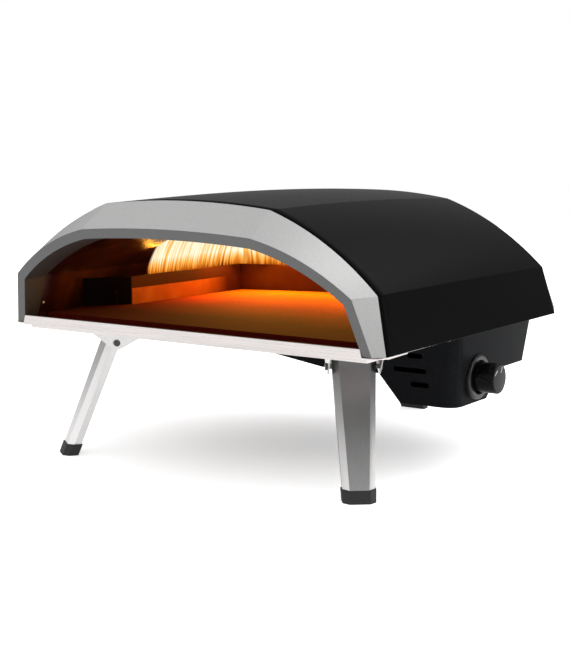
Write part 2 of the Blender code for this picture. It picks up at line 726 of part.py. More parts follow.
def make_rail(name, y, material, root):
    """A hat-shaped rail under the stone."""
    low = PAN_FLOOR_TOP_Z + GAP
    high = STONE_BOTTOM_Z - GAP
    half = RAIL_WIDTH / 2
    quarter = RAIL_WIDTH / 4
    wall = RAIL_WALL
    outline = [(-half, low), (-quarter + wall, low), (-quarter + wall, high - wall),
               (quarter - wall, high - wall), (quarter - wall, low), (half, low),
               (half, low + wall), (quarter, low + wall), (quarter, high),
               (-quarter, high), (-quarter, low + wall), (-half, low + wall)]
    outline = [(y + a, b) for a, b in outline]
    return make_object(name, *prism(outline, -RAIL_HALF_LENGTH, RAIL_HALF_LENGTH, along_x), material, root)


def drafted_block(shrink, top_z):
    """The housing's four drafted walls, moved inwards by shrink and carried up to top_z."""
    bottom_z = POCKET_BOTTOM_Z + shrink
    rings = []
    for z in (bottom_z, top_z):
        drop = HOUSING_TOP_Z - z
        low_x = HOUSING_LEFT_X + shrink * math.hypot(1.0, HOUSING_LEFT_DRAFT) + drop * HOUSING_LEFT_DRAFT
        high_x = HOUSING_RIGHT_X - shrink * math.hypot(1.0, HOUSING_RIGHT_DRAFT) - drop * HOUSING_RIGHT_DRAFT
        low_y = HOUSING_FRONT_Y + shrink * math.hypot(1.0, HOUSING_DRAFT) + drop * HOUSING_DRAFT
        high_y = HOUSING_BACK_Y - shrink * math.hypot(1.0, HOUSING_DRAFT) - drop * HOUSING_DRAFT
        radii = (HOUSING_FRONT_RADIUS - shrink, HOUSING_BACK_RADIUS - shrink)
        outline = rounded_rectangle(low_x, high_x, low_y, high_y, *radii)
        rings.append([(x, y, z) for x, y in outline])
    return loft(rings)


def housing_form(name, shrink, top_z, material, root):
    """The housing's whole outer form, or with shrink its inner form."""
    form = make_object(name, *drafted_block(shrink, top_z), material, root)
    floor = PAN_BOTTOM_Z + shrink
    fall = floor - POCKET_BOTTOM_Z + OVERRUN
    left = POCKET_LEFT_X + shrink * (math.hypot(1.0, POCKET_SLOPE) - POCKET_SLOPE)
    beside = [(HOUSING_LEFT_X - OVERRUN, floor), (left, floor), (left + fall * POCKET_SLOPE, floor - fall),
              (HOUSING_LEFT_X - OVERRUN, floor - fall)]
    span = (HOUSING_FRONT_Y - OVERRUN, HOUSING_BACK_Y + OVERRUN)
    cutter_for(form, f"{name}_beside", prism(beside, *span, along_y))
    back = POCKET_BACK_Y - shrink * (math.sqrt(2.0) - 1.0)
    behind = [(back, floor), (HOUSING_BACK_Y + OVERRUN, floor), (HOUSING_BACK_Y + OVERRUN, floor - fall),
              (back - fall, floor - fall)]
    wide = (HOUSING_LEFT_X - OVERRUN * 2, HOUSING_RIGHT_X + OVERRUN)
    cutter_for(form, f"{name}_behind", prism(behind, *wide, along_x))
    start = np.array(SLOPE_START) + [0.0, shrink]
    end = np.array(SLOPE_END) + [0.0, shrink]
    run = end - start
    first = start - run
    last = end + run * (shrink + MERGE) / abs(run[1])
    under = [tuple(first), tuple(last), (last[0], floor - fall * 2), (first[0], floor - fall * 2)]
    cutter_for(form, f"{name}_under", prism(under, span[0] - OVERRUN, span[1] + OVERRUN, along_y))
    return form


def make_housing(material, root):
    """The black burner housing under the tray: flange, drafted walls, air slots and the stem's hole."""
    housing = housing_form("burner_housing", 0.0, HOUSING_TOP_Z, material, root)
    flange = rectangle(HOUSING_LEFT_X - HOUSING_FLANGE, HOUSING_RIGHT_X - HOUSING_WALL,
                       HOUSING_FRONT_Y - HOUSING_FLANGE, HOUSING_BACK_Y + GAP)
    added_to(housing, "housing_flange", prism(flange, HOUSING_TOP_Z - HOUSING_WALL, HOUSING_TOP_Z, along_z))
    inside = housing_form("housing_inside", HOUSING_WALL, HOUSING_TOP_Z + OVERRUN, material, root)
    boolean(housing, inside, "DIFFERENCE")
    for index, ((x, z), length) in enumerate(zip(SLOT_CENTRES, SLOT_LENGTHS), 1):
        reach = (length - SLOT_HEIGHT) / 2
        radius = SLOT_HEIGHT / 2
        outline = quarter_arc(x + reach, z, radius, -1)[:-1] + quarter_arc(x + reach, z, radius, 0)
        outline += quarter_arc(x - reach, z, radius, 1)[:-1] + quarter_arc(x - reach, z, radius, 2)
        ends = (HOUSING_FRONT_Y - OVERRUN, HOUSING_FRONT_Y + OVERRUN * 3)
        cutter_for(housing, f"housing_slot_{index}", prism(outline, *ends, along_y))
    hole = circle(KNOB_Y, KNOB_Z, STEM_HOLE_RADIUS)
    cutter_for(housing, "housing_stem_hole", prism(hole, VALVE_FRONT_X, HOUSING_RIGHT_X + OVERRUN, along_x))
    inlet = circle(INLET_X, INLET_Z, INLET_BODY_RADIUS + GAP)
    ends = (HOUSING_BACK_Y - OVERRUN * 2, HOUSING_BACK_Y + OVERRUN)
    cutter_for(housing, "housing_inlet_hole", prism(inlet, *ends, along_y))
    for name, (x, y, top) in screw_places().items():
        if name.startswith("housing"):
            outline = circle(x, y, SCREW_RADIUS + GAP, SCREW_STEPS)
            ends = (HOUSING_TOP_Z - HOUSING_WALL - OVERRUN / 2, HOUSING_TOP_Z + OVERRUN / 2)
            cutter_for(housing, f"housing_hole_{name}", prism(outline, *ends, along_z))
    return housing


def housing_wall_y(z):
    """Where the housing's rear wall is at a height."""
    return HOUSING_BACK_Y - (HOUSING_TOP_Z - z) * HOUSING_DRAFT


def housing_wall_x(z):
    """Where the housing's right wall is at a height."""
    return HOUSING_RIGHT_X - (HOUSING_TOP_Z - z) * HOUSING_RIGHT_DRAFT


def make_knob(material, parent):
    """The control knob, a bevelled drum with a socket for the stem and two small ticks on its tip."""
    profile = [(KNOB_RADIUS - KNOB_EDGE / 2, KNOB_BACK_X), (KNOB_RADIUS, KNOB_BACK_X + KNOB_EDGE / 2),
               (KNOB_RADIUS, KNOB_TIP_X - KNOB_EDGE), (KNOB_RADIUS - KNOB_EDGE, KNOB_TIP_X)]
    geometry = turned(profile, ON_AXIS, along_x, ROUND_STEPS * 2)
    knob = make_object("control_knob", *geometry, material, parent, ROUND_ANGLE)
    socket = circle(*ON_AXIS, STEM_RADIUS + GAP)
    socket_ends = (KNOB_BACK_X - OVERRUN, STEM_TIP_X + GAP)
    cutter_for(knob, "knob_socket", prism(socket, *socket_ends, along_x))
    for index, turn in enumerate((-KNOB_TICK_ANGLE, KNOB_TICK_ANGLE), 1):
        corners = rectangle(-KNOB_TICK_WIDTH / 2, KNOB_TICK_WIDTH / 2,
                            KNOB_RADIUS - KNOB_EDGE - KNOB_TICK_LENGTH, KNOB_RADIUS + OVERRUN)
        outline = [(a * math.cos(turn) - b * math.sin(turn), a * math.sin(turn) + b * math.cos(turn))
                   for a, b in corners]
        ends = (KNOB_TIP_X - KNOB_TICK_DEPTH, KNOB_TIP_X + OVERRUN)
        cutter_for(knob, f"knob_tick_{index}", prism(outline, *ends, along_x))
    return knob


def make_ring(material, root):
    """The ring round the knob, with its back cut to the housing's drafted wall."""
    base_x = housing_wall_x(KNOB_Z) - OVERRUN
    profile = [(RING_BORE, base_x), (RING_RADIUS, base_x), (RING_RADIUS, RING_FRONT_X - RING_EDGE),
               (RING_RADIUS - RING_EDGE, RING_FRONT_X), (RING_BORE, RING_FRONT_X)]
    geometry = turned(profile, (KNOB_Y, KNOB_Z), along_x, ROUND_STEPS * 2, closed=True)
    ring = make_object("knob_ring", *geometry, material, root, ROUND_ANGLE)
    low_z = KNOB_Z - RING_RADIUS - OVERRUN
    high_z = KNOB_Z + RING_RADIUS + OVERRUN
    wedge = [(base_x - OVERRUN * 2, low_z), (housing_wall_x(low_z) + GAP, low_z),
             (housing_wall_x(high_z) + GAP, high_z), (base_x - OVERRUN * 2, high_z)]
    ends = (KNOB_Y - RING_RADIUS - OVERRUN, KNOB_Y + RING_RADIUS + OVERRUN)
    cutter_for(ring, "ring_back", prism(wedge, *ends, along_y))
    return ring


def make_valve(brass, steel, black, root, knob_axis):
    """The gas valve, its plunger and stem, the bracket that hangs it and the spark unit beside it."""
    half = VALVE_HALF_SIZE
    square = rectangle(KNOB_Y - half, KNOB_Y + half, KNOB_Z - half, KNOB_Z + half)
    body = make_object("gas_valve_body", *prism(square, VALVE_BACK_X, VALVE_FRONT_X, along_x), brass, root)
    nose = turned([(VALVE_NOSE_RADIUS, VALVE_FRONT_X - VALVE_EDGE), (VALVE_NOSE_RADIUS, VALVE_NOSE_X)],
                  (KNOB_Y, KNOB_Z), along_x)
    added_to(body, "valve_nose", nose)
    plunger_front = STEM_BACK_X - GAP
    plunger_back = plunger_front - PLUNGER_LENGTH
    bore = circle(KNOB_Y, KNOB_Z, STEM_RADIUS + STEM_CLEARANCE)
    bore_ends = (plunger_back - KNOB_TRAVEL - GAP, VALVE_NOSE_X + OVERRUN)
    cutter_for(body, "valve_bore", prism(bore, *bore_ends, along_x))
    plunger = turned([(STEM_RADIUS, plunger_back), (STEM_RADIUS, plunger_front)], ON_AXIS, along_x)
    make_object("valve_plunger", *plunger, steel, knob_axis, ROUND_ANGLE)
    stem = turned([(STEM_RADIUS, STEM_BACK_X), (STEM_RADIUS, STEM_TIP_X)], ON_AXIS, along_x)
    make_object("valve_stem", *stem, steel, knob_axis, ROUND_ANGLE)
    top = KNOB_Z + half + GAP
    plate = VALVE_BRACKET_PLATE
    tab_x = VALVE_BACK_X + VALVE_BRACKET_TAB
    side = [(VALVE_BACK_X, top), (tab_x, top), (tab_x, top + plate), (VALVE_BACK_X + plate, top + plate),
            (VALVE_BACK_X + plate, HOUSING_TOP_Z - plate), (tab_x, HOUSING_TOP_Z - plate),
            (tab_x, HOUSING_TOP_Z), (VALVE_BACK_X, HOUSING_TOP_Z)]
    span = (KNOB_Y - VALVE_BRACKET_HALF_WIDTH, KNOB_Y + VALVE_BRACKET_HALF_WIDTH)
    make_object("valve_bracket", *prism(side, *span, along_y), steel, root)
    spark_y = KNOB_Y + half + PIEZO_RADIUS + GAP
    spark = turned([(PIEZO_RADIUS, VALVE_BACK_X), (PIEZO_RADIUS, VALVE_BACK_X + PIEZO_LENGTH)],
                   (spark_y, PIEZO_Z), along_x)
    make_object("piezo_spark_unit", *spark, black, root, ROUND_ANGLE)


def make_gas_line(brass, steel, root):
    """Inlet fitting and nut, supply pipe, feed pipe and injector."""
    wall_y = housing_wall_y(INLET_Z)
    seat = wall_y + (INLET_HEX_RADIUS + GAP) * HOUSING_DRAFT + GAP
    hexagon = turned([(INLET_HEX_RADIUS, seat), (INLET_HEX_RADIUS, seat + INLET_HEX_LENGTH)],
                     (INLET_X, INLET_Z), along_y, 6)
    fitting = make_object("gas_inlet_fitting", *hexagon, brass, root)
    shank = turned([(INLET_BODY_RADIUS, wall_y - INLET_INSIDE), (INLET_BODY_RADIUS, seat + INLET_REACH)],
                   (INLET_X, INLET_Z), along_y)
    added_to(fitting, "inlet_shank", shank)
    inner_face = wall_y - HOUSING_WALL - (INLET_HEX_RADIUS + GAP) * HOUSING_DRAFT - GAP * 2
    nut = turned([(INLET_BODY_RADIUS + GAP, inner_face), (INLET_HEX_RADIUS + GAP, inner_face),
                  (INLET_HEX_RADIUS + GAP, inner_face - INLET_NUT_LENGTH),
                  (INLET_BODY_RADIUS + GAP, inner_face - INLET_NUT_LENGTH)],
                 (INLET_X, INLET_Z), along_y, ROUND_STEPS, closed=True)
    make_object("inlet_nut", *nut, brass, root)
    pipe_start = (INLET_X, wall_y - INLET_INSIDE - GAP, INLET_Z)
    valve_low = (VALVE_BACK_X - GAP, KNOB_Y, KNOB_Z)
    bend_y = KNOB_Y
    supply = [pipe_start, (INLET_X, bend_y + PIPE_BEND * 2, INLET_Z), (INLET_X, bend_y, KNOB_Z), valve_low]
    pipe("gas_supply_pipe", rounded_route(supply, PIPE_BEND), PIPE_RADIUS, brass, root)
    inlet = burner_route()[-1]
    injector_top = BURNER_BOTTOM_Z - GAP
    injector = turned([(INJECTOR_RADIUS, injector_top - INJECTOR_LENGTH), (INJECTOR_RADIUS, injector_top)],
                      (inlet[0], inlet[1]), along_z, 6)
    make_object("gas_injector", *injector, brass, root)
    high = KNOB_Z + VALVE_HALF_SIZE - PIPE_RADIUS - GAP
    outlet = (VALVE_BACK_X + VALVE_HALF_SIZE * 2, KNOB_Y + VALVE_HALF_SIZE + GAP, high)
    end = (inlet[0], inlet[1], injector_top - INJECTOR_LENGTH - GAP)
    feed = [outlet, (outlet[0], outlet[1] + PIPE_BEND * 2, high), (inlet[0], inlet[1] - PIPE_BEND * 2, high),
            (end[0], end[1], high), end]
    pipe("burner_feed_pipe", rounded_route(feed, PIPE_BEND / 2), PIPE_RADIUS, brass, root)


def make_ignition(ceramic, steel, black, root):
    """The spark electrode in its ceramic, the flame sensor, and their leads down to the valve."""
    body = turned([(CERAMIC_RADIUS, CERAMIC_BOTTOM_Z), (CERAMIC_RADIUS, CERAMIC_TOP_Z)],
                  (ELECTRODE_X, ELECTRODE_Y), along_z, ROUND_STEPS // 2)
    make_object("igniter_ceramic", *body, ceramic, root, ROUND_ANGLE)
    start = (ELECTRODE_X, ELECTRODE_Y, CERAMIC_TOP_Z + GAP)
    bend = (ELECTRODE_X, ELECTRODE_Y, CERAMIC_TOP_Z + ROD_LENGTH)
    tip = (ELECTRODE_X, ELECTRODE_Y - ROD_LENGTH / 2, CERAMIC_TOP_Z + ROD_LENGTH)
    pipe("igniter_rod", [start, bend, tip], ROD_RADIUS, steel, root, 1)
    sensor = turned([(SENSOR_RADIUS, CERAMIC_BOTTOM_Z), (SENSOR_RADIUS, SENSOR_TOP_Z)],
                    (SENSOR_X, ELECTRODE_Y), along_z, ROUND_STEPS // 2)
    make_object("flame_sensor", *sensor, steel, root, ROUND_ANGLE)
    spark_y = KNOB_Y + VALVE_HALF_SIZE + PIEZO_RADIUS
    turn_z = CERAMIC_BOTTOM_Z - PIPE_BEND
    lead = [(ELECTRODE_X, ELECTRODE_Y, CERAMIC_BOTTOM_Z - GAP), (ELECTRODE_X, ELECTRODE_Y, turn_z),
            (ELECTRODE_X, spark_y + PIPE_BEND, turn_z), (VALVE_BACK_X - PIPE_BEND * 2, spark_y, PIEZO_Z),
            (VALVE_BACK_X - GAP, spark_y, PIEZO_Z)]
    pipe("igniter_lead", rounded_route(lead, PIPE_BEND / 2, 3), LEAD_RADIUS, black, root, 2)
    side_y = KNOB_Y - VALVE_HALF_SIZE / 2
    low_z = KNOB_Z - VALVE_HALF_SIZE / 2
    sense = [(SENSOR_X, ELECTRODE_Y, CERAMIC_BOTTOM_Z - GAP), (SENSOR_X, ELECTRODE_Y, turn_z),
             (SENSOR_X, side_y + PIPE_BEND, turn_z), (VALVE_BACK_X - PIPE_BEND * 2, side_y, low_z),
             (VALVE_BACK_X - GAP, side_y, low_z)]
    pipe("sensor_lead", rounded_route(sense, PIPE_BEND / 2, 3), LEAD_RADIUS, steel, root, 2)


def leg_corners():
    """The leg's outer corners, as (side, distance in from the full width, place outside the axis)."""
    shoulder = LEG_OUT - LEG_CHAMFER
    return [(-1.0, 0.0, -LEG_IN), (-1.0, 0.0, shoulder), (-1.0, LEG_CHAMFER, LEG_OUT),
            (1.0, LEG_CHAMFER, LEG_OUT), (1.0, 0.0, shoulder), (1.0, 0.0, -LEG_IN)]


def leg_point(width, out, down, splay):
    """A place on the leg: across, outside the pivot axis and down the leg."""
    y = -out * math.cos(splay) - down * math.sin(splay)
    z = out * math.sin(splay) - down * math.cos(splay)
    return (width, y, z)


def leg_width_at(down, height, splay):
    """The leg's half width at a distance down the leg."""
    share = down * math.cos(splay) / height
    return LEG_TOP_HALF_WIDTH + (LEG_FOOT_HALF_WIDTH - LEG_TOP_HALF_WIDTH) * share


def leg_ring(height, splay, grow=0.0, wall=None, down=None, level=None):
    """The leg's outline, or its channel section with a wall, ended squarely at down or flat at a level."""
    cos = math.cos(splay)
    sin = math.sin(splay)

    def place(side, narrow, out):
        along = (height + out * sin - level) / cos if down is None else down
        across = side * (leg_width_at(along, height, splay) - narrow)
        return leg_point(across, out, along, splay)

    ring = []
    for side, narrow, out in leg_corners():
        ring.append(place(side, narrow - grow, out + grow if out > 0 else out - grow))
    if wall is not None:
        for side, narrow, out in reversed(leg_corners()):
            ring.append(place(side, narrow + wall, out - wall if out > 0 else out))
    return ring


def make_leg(side, pivot, heading, splay, stop_z, materials, root):
    """One folding leg on its pivot: channel, rubber foot, pin, and the place that carries them."""
    steel, rubber = materials
    height = pivot[2]
    place = make_empty(f"{side}_leg_pivot", pivot, heading, root)
    heel = (stop_z - STOP_CLEARANCE - height - LEG_OUT * math.sin(splay)) / math.cos(splay)
    channel = loft([leg_ring(height, splay, wall=LEG_WALL, down=-heel),
                    leg_ring(height, splay, wall=LEG_WALL, level=LEG_END_Z)])
    leg = make_object(f"{side}_leg", *channel, steel, place)
    top_cut = []
    start_angle = math.asin((LEG_OUT - LEG_WALL) / LEG_TOP_RADIUS)
    end_angle = -math.asin(LEG_IN / LEG_TOP_RADIUS)
    for step in range(EAR_TIP_STEPS + 1):
        angle = start_angle + (end_angle - start_angle) * step / EAR_TIP_STEPS
        top_cut.append((LEG_TOP_RADIUS * math.sin(angle), -LEG_TOP_RADIUS * math.cos(angle)))
    far = LEG_TOP_RADIUS * 2
    last_down = top_cut[-1][1]
    top_cut += [(-far, last_down), (-far, -far), (top_cut[0][0], -far)]
    outline = []
    for out, down in top_cut:
        point = leg_point(0.0, out, down, splay)
        outline.append((point[1], point[2]))
    reach = LEG_TOP_HALF_WIDTH + OVERRUN
    cutter_for(leg, f"{side}_leg_top", prism(outline, -reach, reach, along_x))
    cutter_for(leg, f"{side}_leg_hole", prism(circle(0.0, 0.0, PIN_RADIUS + GAP), -reach, reach, along_x))
    cap = loft([leg_ring(height, splay, FOOT_WALL, level=0.0),
                leg_ring(height, splay, FOOT_WALL, level=FOOT_HEIGHT)])
    foot = make_object(f"{side}_foot", *cap, rubber, place)
    socket = loft([leg_ring(height, splay, GAP, level=LEG_END_Z - GAP),
                   leg_ring(height, splay, GAP, level=FOOT_HEIGHT + OVERRUN)])
    cutter_for(foot, f"{side}_foot_socket", socket)
    ear_outside = EAR_PLACE + EAR_THICKNESS + GAP
    head = ear_outside + PIN_HEAD_LENGTH
    profile = [(PIN_HEAD_RADIUS, -head), (PIN_HEAD_RADIUS, -ear_outside), (PIN_RADIUS, -ear_outside),
               (PIN_RADIUS, ear_outside), (PIN_HEAD_RADIUS, ear_outside), (PIN_HEAD_RADIUS, head)]
    pin = turned(profile, (0.0, 0.0), along_x, ROUND_STEPS // 2)
    make_object(f"{side}_pivot_pin", *pin, steel, place, ROUND_ANGLE)
    return place


def make_leg_bracket(side, place, height, mount_z, stop_z, reach, steel):
    """Two ears under a mounting plate, with the stop plate that the leg's heel leans on."""
    top = mount_z - height
    stop = stop_z - height
    outward, inward, drop = reach
    ear = [(inward, top), (-outward, top)]
    for step in range(EAR_TIP_STEPS + 1):
        angle = EAR_TIP_START + EAR_TIP_SWEEP * step / EAR_TIP_STEPS
        ear.append((EAR_TIP_RADIUS * math.cos(angle), EAR_TIP_RADIUS * math.sin(angle)))
    ear.append((inward, top - drop))
    outside = EAR_PLACE + EAR_THICKNESS
    plate = rectangle(-outward, inward, top - EAR_THICKNESS, top)
    bracket = make_object(f"{side}_leg_bracket", *prism(plate, -outside, outside, along_x), steel, place)
    added_to(bracket, f"{side}_ear_first", prism(ear, -outside, -EAR_PLACE, along_x))
    added_to(bracket, f"{side}_ear_second", prism(ear, EAR_PLACE, outside, along_x))
    if stop + EAR_THICKNESS < top - GAP:
        stopper = rectangle(-STOP_REACH[0], STOP_REACH[1], stop, stop + EAR_THICKNESS)
        middle = EAR_PLACE + EAR_THICKNESS / 2
        added_to(bracket, f"{side}_stop_plate", prism(stopper, -middle, middle, along_x))
    hole = circle(0.0, 0.0, PIN_RADIUS + GAP, ROUND_STEPS)
    cutter_for(bracket, f"{side}_ear_hole", prism(hole, -outside - OVERRUN, outside + OVERRUN, along_x))
    for index, (x, y) in enumerate(bracket_screw_offsets(reach), 1):
        outline = circle(x, y, SCREW_RADIUS + GAP, SCREW_STEPS)
        ends = (top - EAR_THICKNESS - OVERRUN / 2, top + OVERRUN / 2)
        cutter_for(bracket, f"{side}_bracket_hole_{index}", prism(outline, *ends, along_z))
    return bracket


def bracket_screw_offsets(reach):
    """Where a leg bracket's two screws go, from its pivot."""
    return [(side * EAR_PLACE / 2, reach[1] - SCREW_INSET * 2) for side in (-1.0, 1.0)]


def leg_places():
    """Each leg's pivot, heading, splay, mounting height, stop height and ear reach."""
    x, y, z = FRONT_PIVOT
    front_top = PAN_FLOOR_BOTTOM_Z - GAP
    front_stop = front_top - EAR_THICKNESS
    rear_top = SILL_Z - TRAY_WALL - GAP
    rear_stop = REAR_PIVOT[2] + (front_stop - z)
    return {
        "left": ((-x, y, z), -FRONT_HEADING, FRONT_SPLAY, front_top, front_stop, FRONT_EAR_REACH),
        "right": ((x, y, z), FRONT_HEADING, FRONT_SPLAY, front_top, front_stop, FRONT_EAR_REACH),
        "rear": (REAR_PIVOT, REAR_HEADING, REAR_SPLAY, rear_top, rear_stop, REAR_EAR_REACH),
    }


def screw_places():
    """Every screw under the tray: its x and y, and the height of the face that it clamps."""
    places = {}
    line = HOUSING_TOP_Z
    front = HOUSING_FRONT_Y - SCREW_INSET
    corners = ((HOUSING_LEFT_X - SCREW_INSET, front), (HOUSING_RIGHT_X - SCREW_INSET * 2, front),
               (HOUSING_LEFT_X - SCREW_INSET, HOUSING_BACK_Y - SCREW_INSET * 2),
               (POCKET_LEFT_X + SCREW_INSET, front))
    for index, (x, y) in enumerate(corners, 1):
        places[f"housing_screw_{index}"] = (x, y, line)
    for side, (pivot, heading, _, top, _, reach) in leg_places().items():
        for index, (a, b) in enumerate(bracket_screw_offsets(reach), 1):
            x = pivot[0] + a * math.cos(heading) - b * math.sin(heading)
            y = pivot[1] + a * math.sin(heading) + b * math.cos(heading)
            places[f"{side}_bracket_screw_{index}"] = (x, y, top)
    return places


def make_screws(steel, root):
    """Pan-head screws, each up through its flange and the tray's sheet."""
    for name, (x, y, top) in screw_places().items():
        sheet = HOUSING_WALL if name.startswith("housing") else EAR_THICKNESS
        seat = top - sheet - GAP
        profile = [(SCREW_HEAD_RADIUS / 2, seat - SCREW_HEAD_HEIGHT),
                   (SCREW_HEAD_RADIUS, seat - SCREW_HEAD_HEIGHT / 2), (SCREW_HEAD_RADIUS, seat),
                   (SCREW_RADIUS, seat), (SCREW_RADIUS, top + TRAY_WALL)]
        geometry = turned(profile, (x, y), along_z, SCREW_STEPS)
        make_object(name, *geometry, steel, root, ROUND_ANGLE)


def footprint_middle():
    """Half way from the bezel's front to the rear foot's back."""
    front = -LEAN * (FRONT_ARCH["crown"] - SHELL_FOOT_Z)
    ring = leg_ring(REAR_PIVOT[2], REAR_SPLAY, FOOT_WALL, level=0.0)
    rear = REAR_PIVOT[1] + max(-point[1] for point in ring)
    return (front + rear) / 2


def main():
    """Build the oven."""
    clear_scene()
    silver = make_material("silver_bezel", (0.45, 0.45, 0.46), 0.38, 0.85)
    black = make_material("black_powder_coat", (0.020, 0.020, 0.022), 0.55, 0.0)
    stainless = make_material("stainless_steel", (0.62, 0.61, 0.60), 0.28, 1.0)
    heated = make_material("heated_steel", (0.38, 0.25, 0.16), 0.40, 1.0)
    wool = make_material("ceramic_wool", (0.75, 0.72, 0.66), 0.95, 0.0)
    cordierite = make_material("cordierite_stone", (0.62, 0.48, 0.34), 0.90, 0.0)
    plastic = make_material("gloss_black_knob", (0.012, 0.012, 0.013), 0.18, 0.0)
    brass = make_material("brass", (0.65, 0.47, 0.20), 0.35, 1.0)
    rubber = make_material("black_rubber", (0.015, 0.015, 0.015), 0.75, 0.0)
    ceramic = make_material("white_ceramic", (0.85, 0.83, 0.78), 0.45, 0.0)

    root = make_empty("oven_root", (0.0, -footprint_middle(), 0.0))
    make_shell(black, root)
    make_bezel(silver, root)
    make_liner(heated, root)
    make_blanket(wool, root)
    make_tray(stainless, root)
    make_rail("stone_rail_front", RAIL_FRONT_Y, stainless, root)
    make_rail("stone_rail_rear", RAIL_REAR_Y, stainless, root)
    make_stone(cordierite, root)
    make_guard(heated, root)
    pipe("burner_tube", burner_route(), BURNER_RADIUS, heated, root)
    for name, wing in BRACKET_WINGS.items():
        make_burner_bracket(name, wing, stainless, root)
    make_housing(black, root)
    make_ring(black, root)
    knob_axis = make_empty("knob_axis", (0.0, KNOB_Y, KNOB_Z), parent=root)
    make_knob(plastic, knob_axis)
    make_valve(brass, stainless, plastic, root, knob_axis)
    make_gas_line(brass, stainless, root)
    make_ignition(ceramic, stainless, rubber, root)
    for side, (pivot, heading, splay, top, stop, reach) in leg_places().items():
        place = make_leg(side, pivot, heading, splay, stop, (stainless, rubber), root)
        make_leg_bracket(side, place, pivot[2], top, stop, reach, stainless)
    make_screws(stainless, root)


main()
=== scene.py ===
# %% [markdown]
# # A portable gas pizza oven
# The CAD solids give every size and every joint.  This lesson dresses them: the sheet metal gets
# smooth curves and soft folds, the inside gets its fire, and each piece gets a material that is
# worked out from what the real one is made of.  Each cell adds one thing and prints what it made.

# %% The frame of CAD solids
import math

import bmesh
import bpy
import numpy as np
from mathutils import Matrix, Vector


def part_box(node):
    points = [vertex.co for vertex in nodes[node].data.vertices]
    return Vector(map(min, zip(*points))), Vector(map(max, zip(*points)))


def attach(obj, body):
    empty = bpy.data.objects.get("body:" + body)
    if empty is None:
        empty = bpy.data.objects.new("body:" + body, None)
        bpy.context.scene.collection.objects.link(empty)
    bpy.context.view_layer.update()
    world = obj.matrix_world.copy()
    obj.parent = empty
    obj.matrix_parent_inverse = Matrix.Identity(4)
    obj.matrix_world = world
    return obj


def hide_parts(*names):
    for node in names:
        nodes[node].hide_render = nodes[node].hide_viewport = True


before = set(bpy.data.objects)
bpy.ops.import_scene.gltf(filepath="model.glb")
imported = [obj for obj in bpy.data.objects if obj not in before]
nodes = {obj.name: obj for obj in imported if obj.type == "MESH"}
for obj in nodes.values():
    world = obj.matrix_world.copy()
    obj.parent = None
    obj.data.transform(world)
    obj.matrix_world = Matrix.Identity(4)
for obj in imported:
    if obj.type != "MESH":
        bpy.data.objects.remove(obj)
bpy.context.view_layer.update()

# %% [markdown]
# ## Where things are
# The bezel leans, so its bottom front edge is the natural zero for depths.  The tray's lip stands
# 2 mm in front of that edge, which gives the zero in the frame.  Heights start at the floor.

# %% Named places that many pieces share
MM = 0.001
LIP_STANDS_OUT = 2.0 * MM
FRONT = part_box("base_tray")[0].y + LIP_STANDS_OUT       # depth of the bezel's bottom front edge
SHELL_FOOT_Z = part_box("outer_shell")[0].z
MERGE = 0.01 * MM
FLAT_WITHIN = 0.4               # degrees: CAD faces that meet flatter than this are joined up
FOLD_ANGLE = 9.0                # degrees: the arch bends by more than this only at its folds
SHEET_GAP = 0.3 * MM            # between the bezel's rear edges and the sheets behind them
print("front edge at y", round(FRONT, 4), "and shell foot at z", round(SHELL_FOOT_Z, 4))

# %% [markdown]
# ## Putting a grid of points into a mesh
# Most pieces here are one function of two parameters, worked out with numpy as an array of
# points with rows and columns.  One helper joins neighbours into quads, another makes the mesh,
# puts it on a CAD body and hides the CAD node that it stands for.

# %% Mesh helpers
def grid_faces(rows, columns, close_rows=False, close_columns=False):
    """Quads between each point of a grid and its next neighbours, wrapping round where closed."""
    row = np.arange(rows if close_rows else rows - 1)[:, None]
    column = np.arange(columns if close_columns else columns - 1)[None, :]
    next_row = (row + 1) % rows
    next_column = (column + 1) % columns
    corners = [row * columns + column, row * columns + next_column,
               next_row * columns + next_column, next_row * columns + column]
    return np.stack(corners, axis=-1).reshape(-1, 4)


def make_piece(name, points, faces, materials, body, node=None, crisp=30.0, indices=None):
    """A mesh from arrays, doubles merged, faces outwards, and edges over crisp degrees kept sharp."""
    mesh = bpy.data.meshes.new(name)
    mesh.from_pydata(np.asarray(points).reshape(-1, 3).tolist(), [], [list(face) for face in faces])
    for material in materials:
        mesh.materials.append(material)
    if indices is not None:
        mesh.polygons.foreach_set("material_index", np.asarray(indices, dtype=np.int32))
    work = bmesh.new()
    work.from_mesh(mesh)
    bmesh.ops.remove_doubles(work, verts=work.verts, dist=MERGE)
    bmesh.ops.recalc_face_normals(work, faces=work.faces)
    work.to_mesh(mesh)
    work.free()
    mesh.shade_smooth()
    mesh.set_sharp_from_angle(angle=math.radians(crisp))
    piece = bpy.data.objects.new(name, mesh)
    bpy.context.collection.objects.link(piece)
    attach(piece, body)
    if node:
        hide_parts(node)
    return piece


def thicken(piece, wall):
    """A wall for a one-sided sheet, on its inner side."""
    solid = piece.modifiers.new("wall", "SOLIDIFY")
    solid.thickness = wall
    solid.offset = -1.0


def soften(piece, width, segments, angle):
    """Rounds the edges that are sharper than an angle, as a press or a file leaves them."""
    bevel = piece.modifiers.new("edges", "BEVEL")
    bevel.width = width
    bevel.segments = segments
    bevel.limit_method = "ANGLE"
    bevel.angle_limit = math.radians(angle)
    bevel.harden_normals = False


